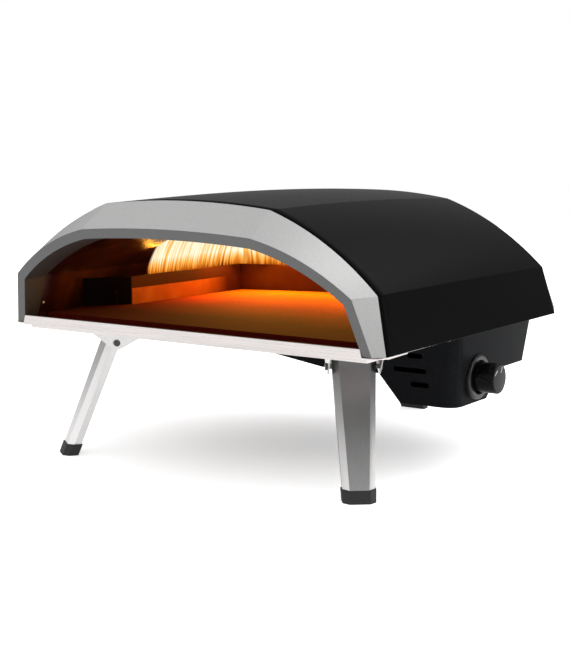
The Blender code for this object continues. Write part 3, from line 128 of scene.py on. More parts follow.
def refined(node, material, body, width, segments=2, crisp=30.0):
    """A merged copy of a CAD node, with its flat faces joined up and its edges rounded."""
    mesh = nodes[node].data.copy()
    mesh.name = f"{node}_dressed"
    mesh.materials.clear()
    mesh.materials.append(material)
    work = bmesh.new()
    work.from_mesh(mesh)
    bmesh.ops.remove_doubles(work, verts=work.verts, dist=MERGE)
    bmesh.ops.dissolve_limit(work, angle_limit=math.radians(FLAT_WITHIN), verts=work.verts,
                              edges=work.edges)
    for face in work.faces:
        face.material_index = 0
    work.to_mesh(mesh)
    work.free()
    mesh.shade_smooth()
    mesh.set_sharp_from_angle(angle=math.radians(crisp))
    piece = bpy.data.objects.new(f"{node}_dressed", mesh)
    bpy.context.collection.objects.link(piece)
    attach(piece, body)
    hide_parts(node)
    soften(piece, width, segments, crisp)


# %% [markdown]
# ## Colours and nodes
# Colours are written as the hex values that an eye or a colour picker reads, so one function
# turns them to the linear values that the shader wants.  One more function adds any node.

# %% Colour and node helpers
def linear(code):
    """The linear colour of an sRGB hex value."""
    values = np.array([int(code[i:i + 2], 16) for i in (1, 3, 5)]) / 255.0
    low = values / 12.92
    high = ((values + 0.055) / 1.055) ** 2.4
    return (*np.where(values <= 0.04045, low, high).tolist(), 1.0)


def add_node(tree, kind, inputs=None, stops=None, **settings):
    """A node with its settings, its ramp stops, and its inputs, each a value or a socket to link."""
    node = tree.nodes.new(kind)
    for name, value in settings.items():
        setattr(node, name, value)
    if stops:
        while len(node.color_ramp.elements) < len(stops):
            node.color_ramp.elements.new(1.0)
        for element, (position, colour) in zip(node.color_ramp.elements, stops):
            element.position = position
            element.color = colour
    for name, value in (inputs or {}).items():
        if isinstance(value, bpy.types.NodeSocket):
            tree.links.new(value, node.inputs[name])
        else:
            node.inputs[name].default_value = value
    return node


def start_material(name, **constants):
    """A new material's tree and its Principled shader with its constant sockets set."""
    material = bpy.data.materials.new(name)
    material.use_nodes = True
    tree = material.node_tree
    shader = tree.nodes["Principled BSDF"]
    for socket, value in constants.items():
        shader.inputs[socket.replace("_", " ")].default_value = value
    return material, tree, shader


def grained(name, dark, light, grain, contrast=(0.35, 0.65), roughness=(0.4, 0.5), bump=0.0,
            stretch=(1.0, 1.0, 1.0), turn=(0.0, 0.0, 0.0), **constants):
    """A material whose colour and gloss follow one noise with grains of a real size in metres."""
    material, tree, shader = start_material(name, **constants)
    place = add_node(tree, "ShaderNodeTexCoord")
    turned = add_node(tree, "ShaderNodeMapping", {"Vector": place.outputs["Object"], "Rotation": turn})
    drawn = add_node(tree, "ShaderNodeMapping", {"Vector": turned.outputs["Vector"], "Scale": stretch})
    noise = add_node(tree, "ShaderNodeTexNoise",
                     {"Vector": drawn.outputs["Vector"], "Scale": 1.0 / grain, "Detail": 3.0})
    colour = add_node(tree, "ShaderNodeValToRGB", {"Fac": noise.outputs["Fac"]},
                      stops=[(contrast[0], linear(dark)), (contrast[1], linear(light))])
    gloss = add_node(tree, "ShaderNodeMapRange",
                     {"Value": noise.outputs["Fac"], "From Min": contrast[0], "From Max": contrast[1],
                      "To Min": roughness[0], "To Max": roughness[1]})
    tree.links.new(colour.outputs["Color"], shader.inputs["Base Color"])
    tree.links.new(gloss.outputs["Result"], shader.inputs["Roughness"])
    if bump:
        relief = add_node(tree, "ShaderNodeBump",
                          {"Height": noise.outputs["Fac"], "Distance": grain, "Strength": bump})
        tree.links.new(relief.outputs["Normal"], shader.inputs["Normal"])
    return material


# %% [markdown]
# ## The camera
# The camera was solved from the picture: the three soles on the floor, the level edges of the
# tray and the upright sides.  It stands to the front right, a little above the roof, with a
# long lens, so the lines run almost parallel.

# %% Camera
CAMERA_PLACE = (1.0842, -1.662175, 0.4488)
CAMERA_PITCH = 81.529
CAMERA_TURN = 33.974
CAMERA_LENS = 76.67

camera_data = bpy.data.cameras.new("camera")
camera_data.lens = CAMERA_LENS
camera = bpy.data.objects.new("camera", camera_data)
camera.location = CAMERA_PLACE
camera.rotation_euler = (math.radians(CAMERA_PITCH), 0.0, math.radians(CAMERA_TURN))
bpy.context.collection.objects.link(camera)
bpy.context.scene.camera = camera
bpy.context.scene.view_settings.view_transform = "Standard"
print("camera", CAMERA_LENS, "mm lens at", CAMERA_PLACE)

# %% [markdown]
# ## Studio: floor, room and two soft lamps
# The photograph is a cut-out look on white with a soft grey shadow to the left.  The floor is a
# white surface that keeps the shadow.  The room shows white to the camera.  For reflections it is
# white too, apart from a few darker patches round the oven: without something dark to mirror,
# brushed steel would look like white paint and powder coat like grey card.

# %% Floor and room
FLOOR_HALF = 4.0
SHADOW_MIDDLE = (-0.03, -0.04, 0.0)
SHADOW_REACH = 0.35             # towards this the floor is burnt out to white, as in a cut-out
SHADOW_GLOW = 0.28              # the floor's own light in the middle of the shadow
OPEN_GLOW = 0.75                # and its own light out in the open
FLOOR_IN_METAL = 0.35           # how much of that white the metal mirrors too
FILL_LEVELS = (0.30, 0.95)      # the room's light from the horizon and from above
FILL_TOP = 0.6                  # the sine of the height from which it comes in full
# Each patch has its direction, the cosines where it begins and is darkest, and its darkest level.
DARK_PATCHES = (((0.62, -0.58, 0.53), 0.60, 0.90, 0.32), ((-0.25, 0.93, 0.27), 0.55, 0.85, 0.55),
                ((0.62, 0.78, 0.09), 0.86, 0.95, 0.15), ((0.20, 0.82, 0.53), 0.84, 0.94, 0.25),
                ((-0.92, 0.40, 0.0), 0.84, 0.95, 0.30))

floor_material, tree, shader = start_material("white_studio_floor", Roughness=0.6)
place = add_node(tree, "ShaderNodeTexCoord")
mottle = add_node(tree, "ShaderNodeTexNoise", {"Vector": place.outputs["Object"], "Scale": 2.0})
pale = add_node(tree, "ShaderNodeValToRGB", {"Fac": mottle.outputs["Fac"]},
                stops=[(0.3, linear("#f4f4f4")), (0.7, linear("#f6f6f6"))])
tree.links.new(pale.outputs["Color"], shader.inputs["Base Color"])
path = add_node(tree, "ShaderNodeLightPath")
# Painted shadow: the floor's own glow is lowest round a point under the oven and rises to its open level at
# the reach, so the floor is darker there by its colour as well as by the cast shadow.
reach = add_node(tree, "ShaderNodeVectorMath", {0: place.outputs["Object"], 1: SHADOW_MIDDLE},
                 operation="DISTANCE")
spread = add_node(tree, "ShaderNodeMath", {0: reach.outputs["Value"], 1: 2.0}, operation="POWER")
white = add_node(tree, "ShaderNodeMapRange",
                 {"Value": spread.outputs["Value"], "From Max": SHADOW_REACH ** 2,
                  "To Min": SHADOW_GLOW, "To Max": OPEN_GLOW})
mirrored = add_node(tree, "ShaderNodeMath", {0: path.outputs["Is Glossy Ray"], 1: FLOOR_IN_METAL},
                    operation="MULTIPLY")
seen = add_node(tree, "ShaderNodeMath", {0: path.outputs["Is Camera Ray"], 1: mirrored.outputs["Value"]},
                operation="MAXIMUM")
glow = add_node(tree, "ShaderNodeMath", {0: seen.outputs["Value"], 1: white.outputs["Result"]},
                operation="MULTIPLY")
shader.inputs["Emission Color"].default_value = (1.0, 1.0, 1.0, 1.0)
tree.links.new(glow.outputs["Value"], shader.inputs["Emission Strength"])

floor_mesh = bpy.data.meshes.new("floor")
corner = np.array([[-1, -1, 0], [1, -1, 0], [1, 1, 0], [-1, 1, 0]]) * FLOOR_HALF
floor_mesh.from_pydata(corner.tolist(), [], [[0, 1, 2, 3]])
floor_mesh.materials.append(floor_material)
floor = bpy.data.objects.new("floor", floor_mesh)
bpy.context.collection.objects.link(floor)

world = bpy.data.worlds.new("studio")
bpy.context.scene.world = world
world.use_nodes = True
tree = world.node_tree
tree.nodes.clear()
way = add_node(tree, "ShaderNodeTexCoord")
path = add_node(tree, "ShaderNodeLightPath")
mirror = 1.0
for direction, begins, darkest, dark_level in DARK_PATCHES:
    facing = add_node(tree, "ShaderNodeVectorMath", {0: way.outputs["Generated"], 1: direction},
                      operation="DOT_PRODUCT")
    patch = add_node(tree, "ShaderNodeMapRange",
                     {"Value": facing.outputs["Value"], "From Min": begins, "From Max": darkest,
                      "To Min": 1.0, "To Max": dark_level})
    darker = add_node(tree, "ShaderNodeMath", {0: mirror, 1: patch.outputs["Result"]}, operation="MINIMUM")
    mirror = darker.outputs["Value"]
apart = add_node(tree, "ShaderNodeSeparateXYZ", {"Vector": way.outputs["Generated"]})
height = add_node(tree, "ShaderNodeMapRange",
                  {"Value": apart.outputs["Z"], "From Min": 0.0, "From Max": FILL_TOP,
                   "To Min": FILL_LEVELS[0], "To Max": FILL_LEVELS[1]})
level = add_node(tree, "ShaderNodeMix",
                 {0: path.outputs["Is Glossy Ray"], 2: height.outputs["Result"], 3: mirror})
seen = add_node(tree, "ShaderNodeMath",
                {0: path.outputs["Is Camera Ray"], 1: path.outputs["Is Transmission Ray"]},
                operation="MAXIMUM")
strength = add_node(tree, "ShaderNodeMix", {0: seen.outputs["Value"], 2: level.outputs[0], 3: 1.0})
background = add_node(tree, "ShaderNodeBackground",
                      {"Color": (1.0, 1.0, 1.0, 1.0), "Strength": strength.outputs[0]})
add_node(tree, "ShaderNodeOutputWorld", {"Surface": background.outputs["Background"]})

# %% [markdown]
# One wide lamp hangs behind and to the right of the oven, high up.  It throws the shadow forward
# and to the left, and its mirror image lies on the roof as a soft sheen.  A weaker softbox stands
# to the right and lights the bezel's side.

# %% Lamps
LAMP_SIZE = 1.3
LAMP_POWER = 14.0
LAMP_PLACE = (0.55, 0.75, 1.55)
SIDE_SIZE = 0.7
SIDE_POWER = 4.5
SIDE_PLACE = (1.60, 0.40, 0.45)
LAMP_TARGET = (0.0, 0.0, 0.2)


def add_lamp(name, place, target, size, power, colour=(1.0, 1.0, 1.0), size_y=None):
    """A square or oblong area lamp that looks at a target."""
    data = bpy.data.lights.new(name, "AREA")
    data.size = size
    if size_y:
        data.shape = "RECTANGLE"
        data.size_y = size_y
    data.energy = power
    data.color = colour
    lamp = bpy.data.objects.new(name, data)
    lamp.location = place
    aim = np.array(target) - np.array(place)
    level_reach = math.hypot(aim[0], aim[1])
    lamp.rotation_euler = (math.atan2(level_reach, -aim[2]), 0.0, math.atan2(aim[1], aim[0]) - math.pi / 2)
    bpy.context.collection.objects.link(lamp)


add_lamp("overhead_lamp", LAMP_PLACE, LAMP_TARGET, LAMP_SIZE, LAMP_POWER)
add_lamp("side_softbox", SIDE_PLACE, LAMP_TARGET, SIDE_SIZE, SIDE_POWER)
print("lamps of", LAMP_POWER, "and", SIDE_POWER, "W")

# %% [markdown]
# ## Materials of the outside
# Powder coat is a matt black skin of melted plastic grains: dark from the front and grey at a
# grazing look, so its specular level is low and its roughness is middling.  The bezel is sheet
# metal with a satin silver paint.  Its front band and inner flange are that paint made darker, as
# painted shade for the way they face down and into the mouth.  The legs and the tray are brushed
# stainless steel, whose fine lines run along each sheet.

# %% Coats, paint and steel
coat = grained("black_powder_coat", "#0b0b0c", "#0f0f10", 2.2 * MM, roughness=(0.32, 0.38), bump=0.02,
               Specular_IOR_Level=0.015)
silver = grained("satin_silver_paint", "#b2b2b2", "#bebebd", 1.6 * MM, roughness=(0.42, 0.50), bump=0.02,
                 Metallic=0.45)
# Painted shade: the bezel's flange and front band are the silver paint made darker, for the shade they lie
# in.
flange_painted_shade = grained("silver_paint_flange_painted_shade", "#3a3a3a", "#424242", 1.6 * MM, roughness=(0.45, 0.55),
                     bump=0.02, Metallic=0.2)
band_painted_shade = grained("silver_paint_band_painted_shade", "#6a6a6a", "#747474", 1.6 * MM, roughness=(0.45, 0.55),
                   bump=0.02, Metallic=0.3)
BRUSH_WIDTH = 1.0 * MM          # real brush lines are ten times finer; these are as fine as shows
BRUSH_ALONG_X = (0.02, 1.0, 1.0)
BRUSH_ALONG_Z = (1.0, 1.0, 0.02)
HINGE_Z = 154.3 * MM
tray_steel = grained("brushed_stainless_tray", "#d6d0ce", "#e6e0de", BRUSH_WIDTH, roughness=(0.24, 0.34),
                     bump=0.015, stretch=BRUSH_ALONG_X, Metallic=1.0)
# Painted shade: the lip's top edge is painted near-black for the shaded front face of the stone
# just behind it, so it reads as a dark line above the bright lip.
SHADE_LINE_FROM_Z = 193.8 * MM
SHADE_LINE_TO_Z = 194.3 * MM
tree = tray_steel.node_tree
shader = tree.nodes["Principled BSDF"]
place = add_node(tree, "ShaderNodeTexCoord")
apart = add_node(tree, "ShaderNodeSeparateXYZ", {"Vector": place.outputs["Object"]})
shade_line = add_node(tree, "ShaderNodeMapRange",
                 {"Value": apart.outputs["Z"], "From Min": SHADE_LINE_FROM_Z, "From Max": SHADE_LINE_TO_Z})
bright = shader.inputs["Base Color"].links[0].from_socket
mixed = add_node(tree, "ShaderNodeMix",
                 {0: shade_line.outputs["Result"], 6: bright, 7: linear("#1c0f0a")}, data_type="RGBA")
tree.links.new(mixed.outputs[2], shader.inputs["Base Color"])
bare = add_node(tree, "ShaderNodeMapRange", {"Value": shade_line.outputs["Result"], "To Min": 1.0, "To Max": 0.0})
tree.links.new(bare.outputs["Result"], shader.inputs["Metallic"])
polish = shader.inputs["Roughness"].links[0].from_socket
dull = add_node(tree, "ShaderNodeMath", {0: polish, 1: shade_line.outputs["Result"]}, operation="MAXIMUM")
tree.links.new(dull.outputs["Value"], shader.inputs["Roughness"])


# Painted shade and reflection: how much of the steel's brightness is left at the foot, halfway
# and at the hinge, darker under the oven and set for each leg by how the light falls on it.
LEG_PAINTED_SHADE = {"left": ("#ffffff", "#f8f8f8", "#eeeeee"), "right": ("#ececec", "#a8a8a8", "#787878"),
             "rear": ("#e4e4e4", "#b0b0b0", "#909090")}


def leg_steel(side, heading, splay, low, middle, top):
    """Brushed stainless steel whose lines run down one leaning leg, with painted shade towards the hinge."""
    steel = grained(f"brushed_stainless_{side}_leg", "#efeeee", "#f7f5f4", BRUSH_WIDTH,
                    roughness=(0.28, 0.34), bump=0.008, stretch=BRUSH_ALONG_Z, turn=(splay, 0.0, -heading),
                    Metallic=1.0)
    tree = steel.node_tree
    shader = tree.nodes["Principled BSDF"]
    place = add_node(tree, "ShaderNodeTexCoord")
    apart = add_node(tree, "ShaderNodeSeparateXYZ", {"Vector": place.outputs["Object"]})
    height = add_node(tree, "ShaderNodeMapRange", {"Value": apart.outputs["Z"], "From Max": HINGE_Z})
    painted_leg_shade = add_node(tree, "ShaderNodeValToRGB", {"Fac": height.outputs["Result"]},
                    stops=[(0.1, linear(low)), (0.6, linear(middle)), (1.0, linear(top))])
    grain = shader.inputs["Base Color"].links[0].from_socket
    mixed = add_node(tree, "ShaderNodeMix", {0: 1.0, 6: grain, 7: painted_leg_shade.outputs["Color"]}, data_type="RGBA",
                     blend_type="MULTIPLY")
    tree.links.new(mixed.outputs[2], shader.inputs["Base Color"])
    return steel


bracket_steel = grained("pressed_stainless_bracket", "#e2e0df", "#ecebea", 2.0 * MM, roughness=(0.26, 0.36),
                        bump=0.005, Metallic=1.0)
pin_steel = grained("dark_zinc_pin", "#4a4846", "#5c5a58", 2.0 * MM, roughness=(0.3, 0.4), Metallic=1.0)
rubber = grained("black_moulded_rubber", "#29292a", "#363637", 1.5 * MM, roughness=(0.6, 0.75), bump=0.08,
                 Specular_IOR_Level=0.4)
gloss_plastic = grained("gloss_black_moulded_plastic", "#08080a", "#0c0c0d", 3.0 * MM,
                        roughness=(0.16, 0.24), bump=0.01, Specular_IOR_Level=0.12)
ring_plastic = grained("satin_black_moulded_plastic", "#0c0c0d", "#121213", 2.0 * MM, roughness=(0.28, 0.36),
                       bump=0.01, Specular_IOR_Level=0.5)
satin_plastic = grained("satin_black_enamel", "#17181a", "#1e1f21", 2.0 * MM, roughness=(0.36, 0.46),
                        bump=0.03, Specular_IOR_Level=0.02)
tick_white = grained("white_tick", "#d8d8d8", "#f0f0f0", 1.0 * MM, roughness=(0.4, 0.5))

# %% [markdown]
# ## Materials of the inside
# Steel that has been near a flame is straw, brown and blue, and it keeps a dull mirror.  The
# guard's colours are painted firelight and shade.  The stone is cordierite: pressed and fired
# clay, dry, with specks and scorch marks, and painted firelight that fades towards the mouth.

# %% Heated steel, stone and small parts
liner_steel = grained("heat_tinted_liner_steel", "#381207", "#5c1f0a", 40.0 * MM, contrast=(0.3, 0.7),
                      roughness=(0.34, 0.46), bump=0.01, Metallic=0.6)
brass = grained("turned_brass", "#a8812f", "#c9a24a", 1.5 * MM, roughness=(0.25, 0.38), Metallic=1.0)
wool = grained("white_ceramic_wool", "#cfcac0", "#f0ece4", 3.0 * MM, roughness=(0.9, 1.0), bump=0.4)
alumina = grained("white_alumina_ceramic", "#dcd8cc", "#efece4", 2.0 * MM, roughness=(0.25, 0.35))
lead_rubber = grained("black_silicone_lead", "#151515", "#202020", 1.5 * MM, roughness=(0.4, 0.5))
burner_steel = grained("blued_burner_steel", "#3a3430", "#6a5a4c", 12.0 * MM, roughness=(0.3, 0.45),
                       Metallic=1.0)

# Painted firelight and shade: the stone's colour is dark red-black at the mouth, orange in the
# middle and pale near the flame, as the flames' light falls off.
FIRELIGHT_DARKEST_Y = -0.19             # the depth in the frame where it is darkest
FIRELIGHT_BRIGHTEST_Y = 0.10                # and where it is brightest
GRIT_SIZE = 2.0 * MM
GRIT_RELIEF = 0.3 * MM
SCORCH_SIZE = 90.0 * MM
stone_material, tree, shader = start_material("fired_cordierite", Specular_IOR_Level=0.08)
place = add_node(tree, "ShaderNodeTexCoord")
speck = add_node(tree, "ShaderNodeTexNoise",
                 {"Vector": place.outputs["Object"], "Scale": 1.0 / GRIT_SIZE, "Detail": 4.0})
scorch = add_node(tree, "ShaderNodeTexNoise",
                  {"Vector": place.outputs["Object"], "Scale": 1.0 / SCORCH_SIZE, "Detail": 2.0})
clay = add_node(tree, "ShaderNodeValToRGB", {"Fac": scorch.outputs["Fac"]},
                stops=[(0.35, linear("#9c5a0c")), (0.65, linear("#ac640e"))])
grit = add_node(tree, "ShaderNodeValToRGB", {"Fac": speck.outputs["Fac"]},
                stops=[(0.30, linear("#c8c8c8")), (0.60, linear("#ffffff"))])
mixed = add_node(tree, "ShaderNodeMix",
                 {0: 1.0, 6: clay.outputs["Color"], 7: grit.outputs["Color"]}, data_type="RGBA",
                 blend_type="MULTIPLY")
depth = add_node(tree, "ShaderNodeSeparateXYZ", {"Vector": place.outputs["Object"]})
firelight_share = add_node(tree, "ShaderNodeMapRange",
                  {"Value": depth.outputs["Y"], "From Min": FIRELIGHT_DARKEST_Y, "From Max": FIRELIGHT_BRIGHTEST_Y})
painted_firelight = add_node(tree, "ShaderNodeValToRGB", {"Fac": firelight_share.outputs["Result"]},
                 stops=[(0.0, (0.22, 0.030, 0.004, 1.0)), (0.5, (0.80, 0.19, 0.02, 1.0)),
                        (1.0, (0.9, 0.9, 0.3, 1.0))])
painted_stone = add_node(tree, "ShaderNodeMix",
                 {0: 1.0, 6: mixed.outputs[2], 7: painted_firelight.outputs["Color"]}, data_type="RGBA",
                 blend_type="MULTIPLY")
tree.links.new(painted_stone.outputs[2], shader.inputs["Base Color"])
dry = add_node(tree, "ShaderNodeMapRange", {"Value": speck.outputs["Fac"], "To Min": 0.92, "To Max": 1.0})
tree.links.new(dry.outputs["Result"], shader.inputs["Roughness"])
relief = add_node(tree, "ShaderNodeBump",
                  {"Height": speck.outputs["Fac"], "Distance": GRIT_RELIEF, "Strength": 0.3})
tree.links.new(relief.outputs["Normal"], shader.inputs["Normal"])

# Painted firelight and shade: the guard's colours stand for the light on it.  It is orange low on the side
# wall where the flames light it, dark above that and further back, black on the end plate in front of the
# flames, and a little lighter across the rear.
guard_steel, tree, shader = start_material("guard_steel_painted_firelight", Metallic=0.2, Specular_IOR_Level=0.05)
BAND_Z = 219.0 * MM                     # above this the sheet is painted in shade, below it painted lit by the flames
BAND_EDGE = 0.5 * MM                    # that painted shade comes in over this much on either side of it
END_PLATE_Y = FRONT + 151.5 * MM        # in front of this is the end plate, painted black for the shade in front of the flames
END_EDGE = 2.0 * MM                     # that black fades out over this depth
REAR_PLATE_Y = FRONT + 386.0 * MM       # behind this the sheet turns across the oven
REAR_BEND = 8.0 * MM                    # the painted light changes over this depth
BLOTCH_SIZE = 40.0 * MM
LIT_STRIP_END = (FRONT + 275.0 * MM, FRONT + 355.0 * MM)    # the painted firelit strip fades out between these
place = add_node(tree, "ShaderNodeTexCoord")
apart = add_node(tree, "ShaderNodeSeparateXYZ", {"Vector": place.outputs["Object"]})
blotch = add_node(tree, "ShaderNodeTexNoise",
                  {"Vector": place.outputs["Object"], "Scale": 1.0 / BLOTCH_SIZE, "Detail": 2.0})
band = add_node(tree, "ShaderNodeMapRange",
                {"Value": apart.outputs["Z"], "From Min": BAND_Z - BAND_EDGE,
                 "From Max": BAND_Z + BAND_EDGE})
firelit = add_node(tree, "ShaderNodeValToRGB", {"Fac": blotch.outputs["Fac"]},
                 stops=[(0.35, linear("#a8541a")), (0.65, linear("#bf6a28"))])
left_shade = add_node(tree, "ShaderNodeValToRGB", {"Fac": blotch.outputs["Fac"]},
                     stops=[(0.35, linear("#3a1305")), (0.65, linear("#4a1c07"))])
rear_light = add_node(tree, "ShaderNodeValToRGB", {"Fac": blotch.outputs["Fac"]},
                     stops=[(0.35, linear("#3e1a04")), (0.65, linear("#4a2206"))])
fade = add_node(tree, "ShaderNodeMapRange",
                {"Value": apart.outputs["Y"], "From Min": LIT_STRIP_END[0], "From Max": LIT_STRIP_END[1]})
corner = add_node(tree, "ShaderNodeMapRange",
                  {"Value": apart.outputs["Y"], "From Min": REAR_PLATE_Y,
                   "From Max": REAR_PLATE_Y + REAR_BEND})
shaded = add_node(tree, "ShaderNodeMix",
                 {0: corner.outputs["Result"], 6: left_shade.outputs["Color"], 7: rear_light.outputs["Color"]},
                 data_type="RGBA")
cover = add_node(tree, "ShaderNodeMath", {0: band.outputs["Result"], 1: fade.outputs["Result"]},
                 operation="MAXIMUM")
mixed = add_node(tree, "ShaderNodeMix",
                 {0: cover.outputs["Value"], 6: firelit.outputs["Color"], 7: shaded.outputs[2]},
                 data_type="RGBA")
plate = add_node(tree, "ShaderNodeMapRange",
                 {"Value": apart.outputs["Y"], "From Min": END_PLATE_Y, "From Max": END_PLATE_Y + END_EDGE})
black = add_node(tree, "ShaderNodeMix",
                 {0: plate.outputs["Result"], 6: linear("#160a06"), 7: mixed.outputs[2]}, data_type="RGBA")
tree.links.new(black.outputs[2], shader.inputs["Base Color"])
sheen = add_node(tree, "ShaderNodeMapRange",
                 {"Value": blotch.outputs["Fac"], "To Min": 0.50, "To Max": 0.70})
tree.links.new(sheen.outputs["Result"], shader.inputs["Roughness"])
print(len(bpy.data.materials), "materials")

# %% [markdown]
# ## The arch
# Bezel, shell and liner all follow one kind of arch: a nearly upright side, a fold, a shoulder
# that bows a little outwards from its chord, a second and softer fold, and a crown that is a
# flat parabola.  A press makes exactly such a shape: few folds, with slight curves between them.

# %% The arch as a formula
SIDE_STEPS = 4
SHOULDER_STEPS = 28
CROWN_STEPS = 18
FRONT_ARCH = dict(foot=0.2755, side=(0.2580, 0.2516), top=(0.1289, 0.3161), crown=0.3212, bulge=0.0089)
SHELL_FRONT = dict(foot=0.2871, side=(0.2753, 0.2540), top=(0.1267, 0.3468), crown=0.3538, bulge=0.0102)
SHELL_MIDDLE = dict(foot=0.2896, side=(0.2733, 0.2520), top=(0.1245, 0.3475), crown=0.3578, bulge=0.0100)
SHELL_REAR = dict(foot=0.2915, side=(0.2708, 0.2488), top=(0.1210, 0.3400), crown=0.3500, bulge=0.0097)
SHELL_BACK = dict(foot=0.2600, side=(0.2400, 0.2380), top=(0.1060, 0.2980), crown=0.3050, bulge=0.0070)
LINER_ARCH = dict(foot=0.2665, side=(0.2510, 0.2460), top=(0.1285, 0.3085), crown=0.3150, bulge=0.0085)


def arch(foot, side, top, crown, bulge):
    """Points (x, z) from the left foot to the right one.

    Side: straight from (foot, shell foot) to the side point.  Shoulder: side + (top - side)·s,
    pushed outwards from its chord by bulge·4s(1 - s).  Crown: z = top + rise·(1 - (x / top)²).
    """
    foot = np.array([foot, SHELL_FOOT_Z])
    side = np.array(side)
    top = np.array(top)
    chord = top - side
    outward = np.array([chord[1], -chord[0]]) / np.hypot(*chord)
    climb = np.linspace(0.0, 1.0, SIDE_STEPS + 1)[:-1, None]
    share = np.linspace(0.0, 1.0, SHOULDER_STEPS + 1)[:, None]
    shoulder = side + chord * share + outward * bulge * 4.0 * share * (1.0 - share)
    x = top[0] * np.linspace(1.0, 0.0, CROWN_STEPS + 1)[1:]
    roof = np.column_stack([x, top[1] + (crown - top[1]) * (1.0 - (x / top[0]) ** 2)])
    half = np.vstack([foot + (side - foot) * climb, shoulder, roof])
    return np.vstack([half * [-1.0, 1.0], half[-2::-1]])


def inset(points, distance):
    """The arch moved inwards along its mitred normals, with its feet kept level."""
    edges = np.diff(points, axis=0)
    normals = np.column_stack([edges[:, 1], -edges[:, 0]]) / np.linalg.norm(edges, axis=1)[:, None]
    before = np.vstack([normals[:1], normals])
    after = np.vstack([normals, normals[-1:]])
    mitre = before + after
    mitre /= np.sum(mitre * before, axis=1)[:, None]
    moved = points + mitre * distance
    moved[[0, -1], 1] = points[[0, -1], 1]
    return moved


def upright(points, depth):
    """An arch stood up at a depth behind the bezel's front edge."""
    return np.column_stack([points[:, 0], np.full(len(points), FRONT + depth), points[:, 1]])


# %% [markdown]
# ## The bezel
# A pressed frame: its silver skin flares back to the shell, its front band leans forward, and a
# flange turns back into the mouth.  It is a profile of eight corners carried along the arch.
# A bevel rounds the folds, and the rounded outer fold is what draws the thin bright line
# round the mouth.

# %% Bezel
LEAN = 0.247
BEZEL_WALL = 1.5 * MM
BEZEL_BACK = 13.0 * MM
BAND_WIDTH = 12.5 * MM
FLANGE_BACK = 24.0 * MM
BEZEL_FOLD = 1.1 * MM


def leaning(points, back=0.0):
    """An arch in the bezel's leaning front plane: it comes forward by the lean for each unit of height."""
    depth = FRONT + back - LEAN * (points[:, 1] - SHELL_FOOT_Z)
    return np.column_stack([points[:, 0], depth, points[:, 1]])


front = arch(**FRONT_ARCH)
back = arch(**SHELL_FRONT)
mouth = inset(front, BAND_WIDTH)
behind = inset(front, BAND_WIDTH - BEZEL_WALL)
loops = np.stack([
    upright(back, BEZEL_BACK),
    leaning(front),
    leaning(mouth),
    upright(mouth, FLANGE_BACK),
    upright(behind, FLANGE_BACK),
    leaning(behind, BEZEL_WALL),
    leaning(inset(front, BEZEL_WALL), BEZEL_WALL),
    upright(inset(back, BEZEL_WALL), BEZEL_BACK),
], axis=1)
rows, columns = loops.shape[:2]
faces = grid_faces(rows, columns, close_columns=True)
SKIN, BAND, FLANGE = 0, 1, 2
paint_order = np.array([SKIN, BAND, FLANGE, FLANGE, FLANGE, FLANGE, SKIN, SKIN])
indices = np.tile(paint_order, rows - 1)
caps = [list(range(columns)), list(range((rows - 1) * columns, rows * columns))]
bezel = make_piece("bezel_pressing", loops, faces.tolist() + caps, [silver, band_painted_shade, flange_painted_shade], "oven",
                   "front_bezel", crisp=FOLD_ANGLE, indices=indices.tolist() + [SKIN, SKIN])
soften(bezel, BEZEL_FOLD, 3, FOLD_ANGLE)
print("bezel", rows, "sections of", columns, "corners")

# %% [markdown]
# ## The shell
# One bent sheet from the bezel to the rear, where it folds down to a smaller arch and a flat back.
# Its height and width change slowly on the way, which is a blend of three arches with quadratic
# weights.  It is a grid of arch by depth, closed by the back panel and by turned-in feet.

# %% Shell
SHELL_WALL = 1.2 * MM
SHELL_FRONT_Y = BEZEL_BACK + SHEET_GAP
SHELL_REAR_Y = 476.0 * MM
SHELL_BACK_Y = 546.0 * MM
SHELL_FLANGE = 14.0 * MM
SHELL_SECTIONS = 25
SHELL_FOLD = 1.6 * MM
PANEL_ROWS = 6


def with_feet(points, width):
    """The arch with a level flange turned inwards at each foot."""
    left = points[:1] + [width, 0.0]
    right = points[-1:] - [width, 0.0]
    return np.vstack([left, points, right])


def back_panel(edge):
    """A flat sheet that goes straight down from an upright arch to the shell's foot."""
    down = np.linspace(0.0, 1.0, PANEL_ROWS)[1:, None]
    return np.stack([edge[:, 0] + 0.0 * down, edge[:, 1] + 0.0 * down,
                     edge[:, 2] + (SHELL_FOOT_Z - edge[:, 2]) * down], axis=-1)


share = np.linspace(0.0, 1.0, SHELL_SECTIONS)[:, None, None]
arches = [with_feet(arch(**spec), SHELL_FLANGE) for spec in (SHELL_FRONT, SHELL_MIDDLE, SHELL_REAR)]
blend = (2.0 * (share - 0.5) * (share - 1.0) * arches[0] - 4.0 * share * (share - 1.0) * arches[1]
         + 2.0 * share * (share - 0.5) * arches[2])
depth = FRONT + SHELL_FRONT_Y + (SHELL_REAR_Y - SHELL_FRONT_Y) * share[..., 0]
roof = np.stack([blend[..., 0], np.broadcast_to(depth, blend.shape[:2]), blend[..., 1]], axis=-1)
hip = upright(with_feet(arch(**SHELL_BACK), SHELL_FLANGE), SHELL_BACK_Y)
skin = np.concatenate([roof, hip[None], back_panel(hip)])
shell = make_piece("shell_sheet", skin, grid_faces(*skin.shape[:2]), [coat], "oven", "outer_shell",
                   crisp=FOLD_ANGLE)
soften(shell, SHELL_FOLD, 2, FOLD_ANGLE)
thicken(shell, SHELL_WALL)
print("shell grid", skin.shape[:2])

# %% [markdown]
# ## The liner
# The oven's inner roof is a box of thin steel with the same folds, closed at the back.  Its
# shoulders mirror the flames, so it is made as smooth as the shell.  One rivet holds each side.

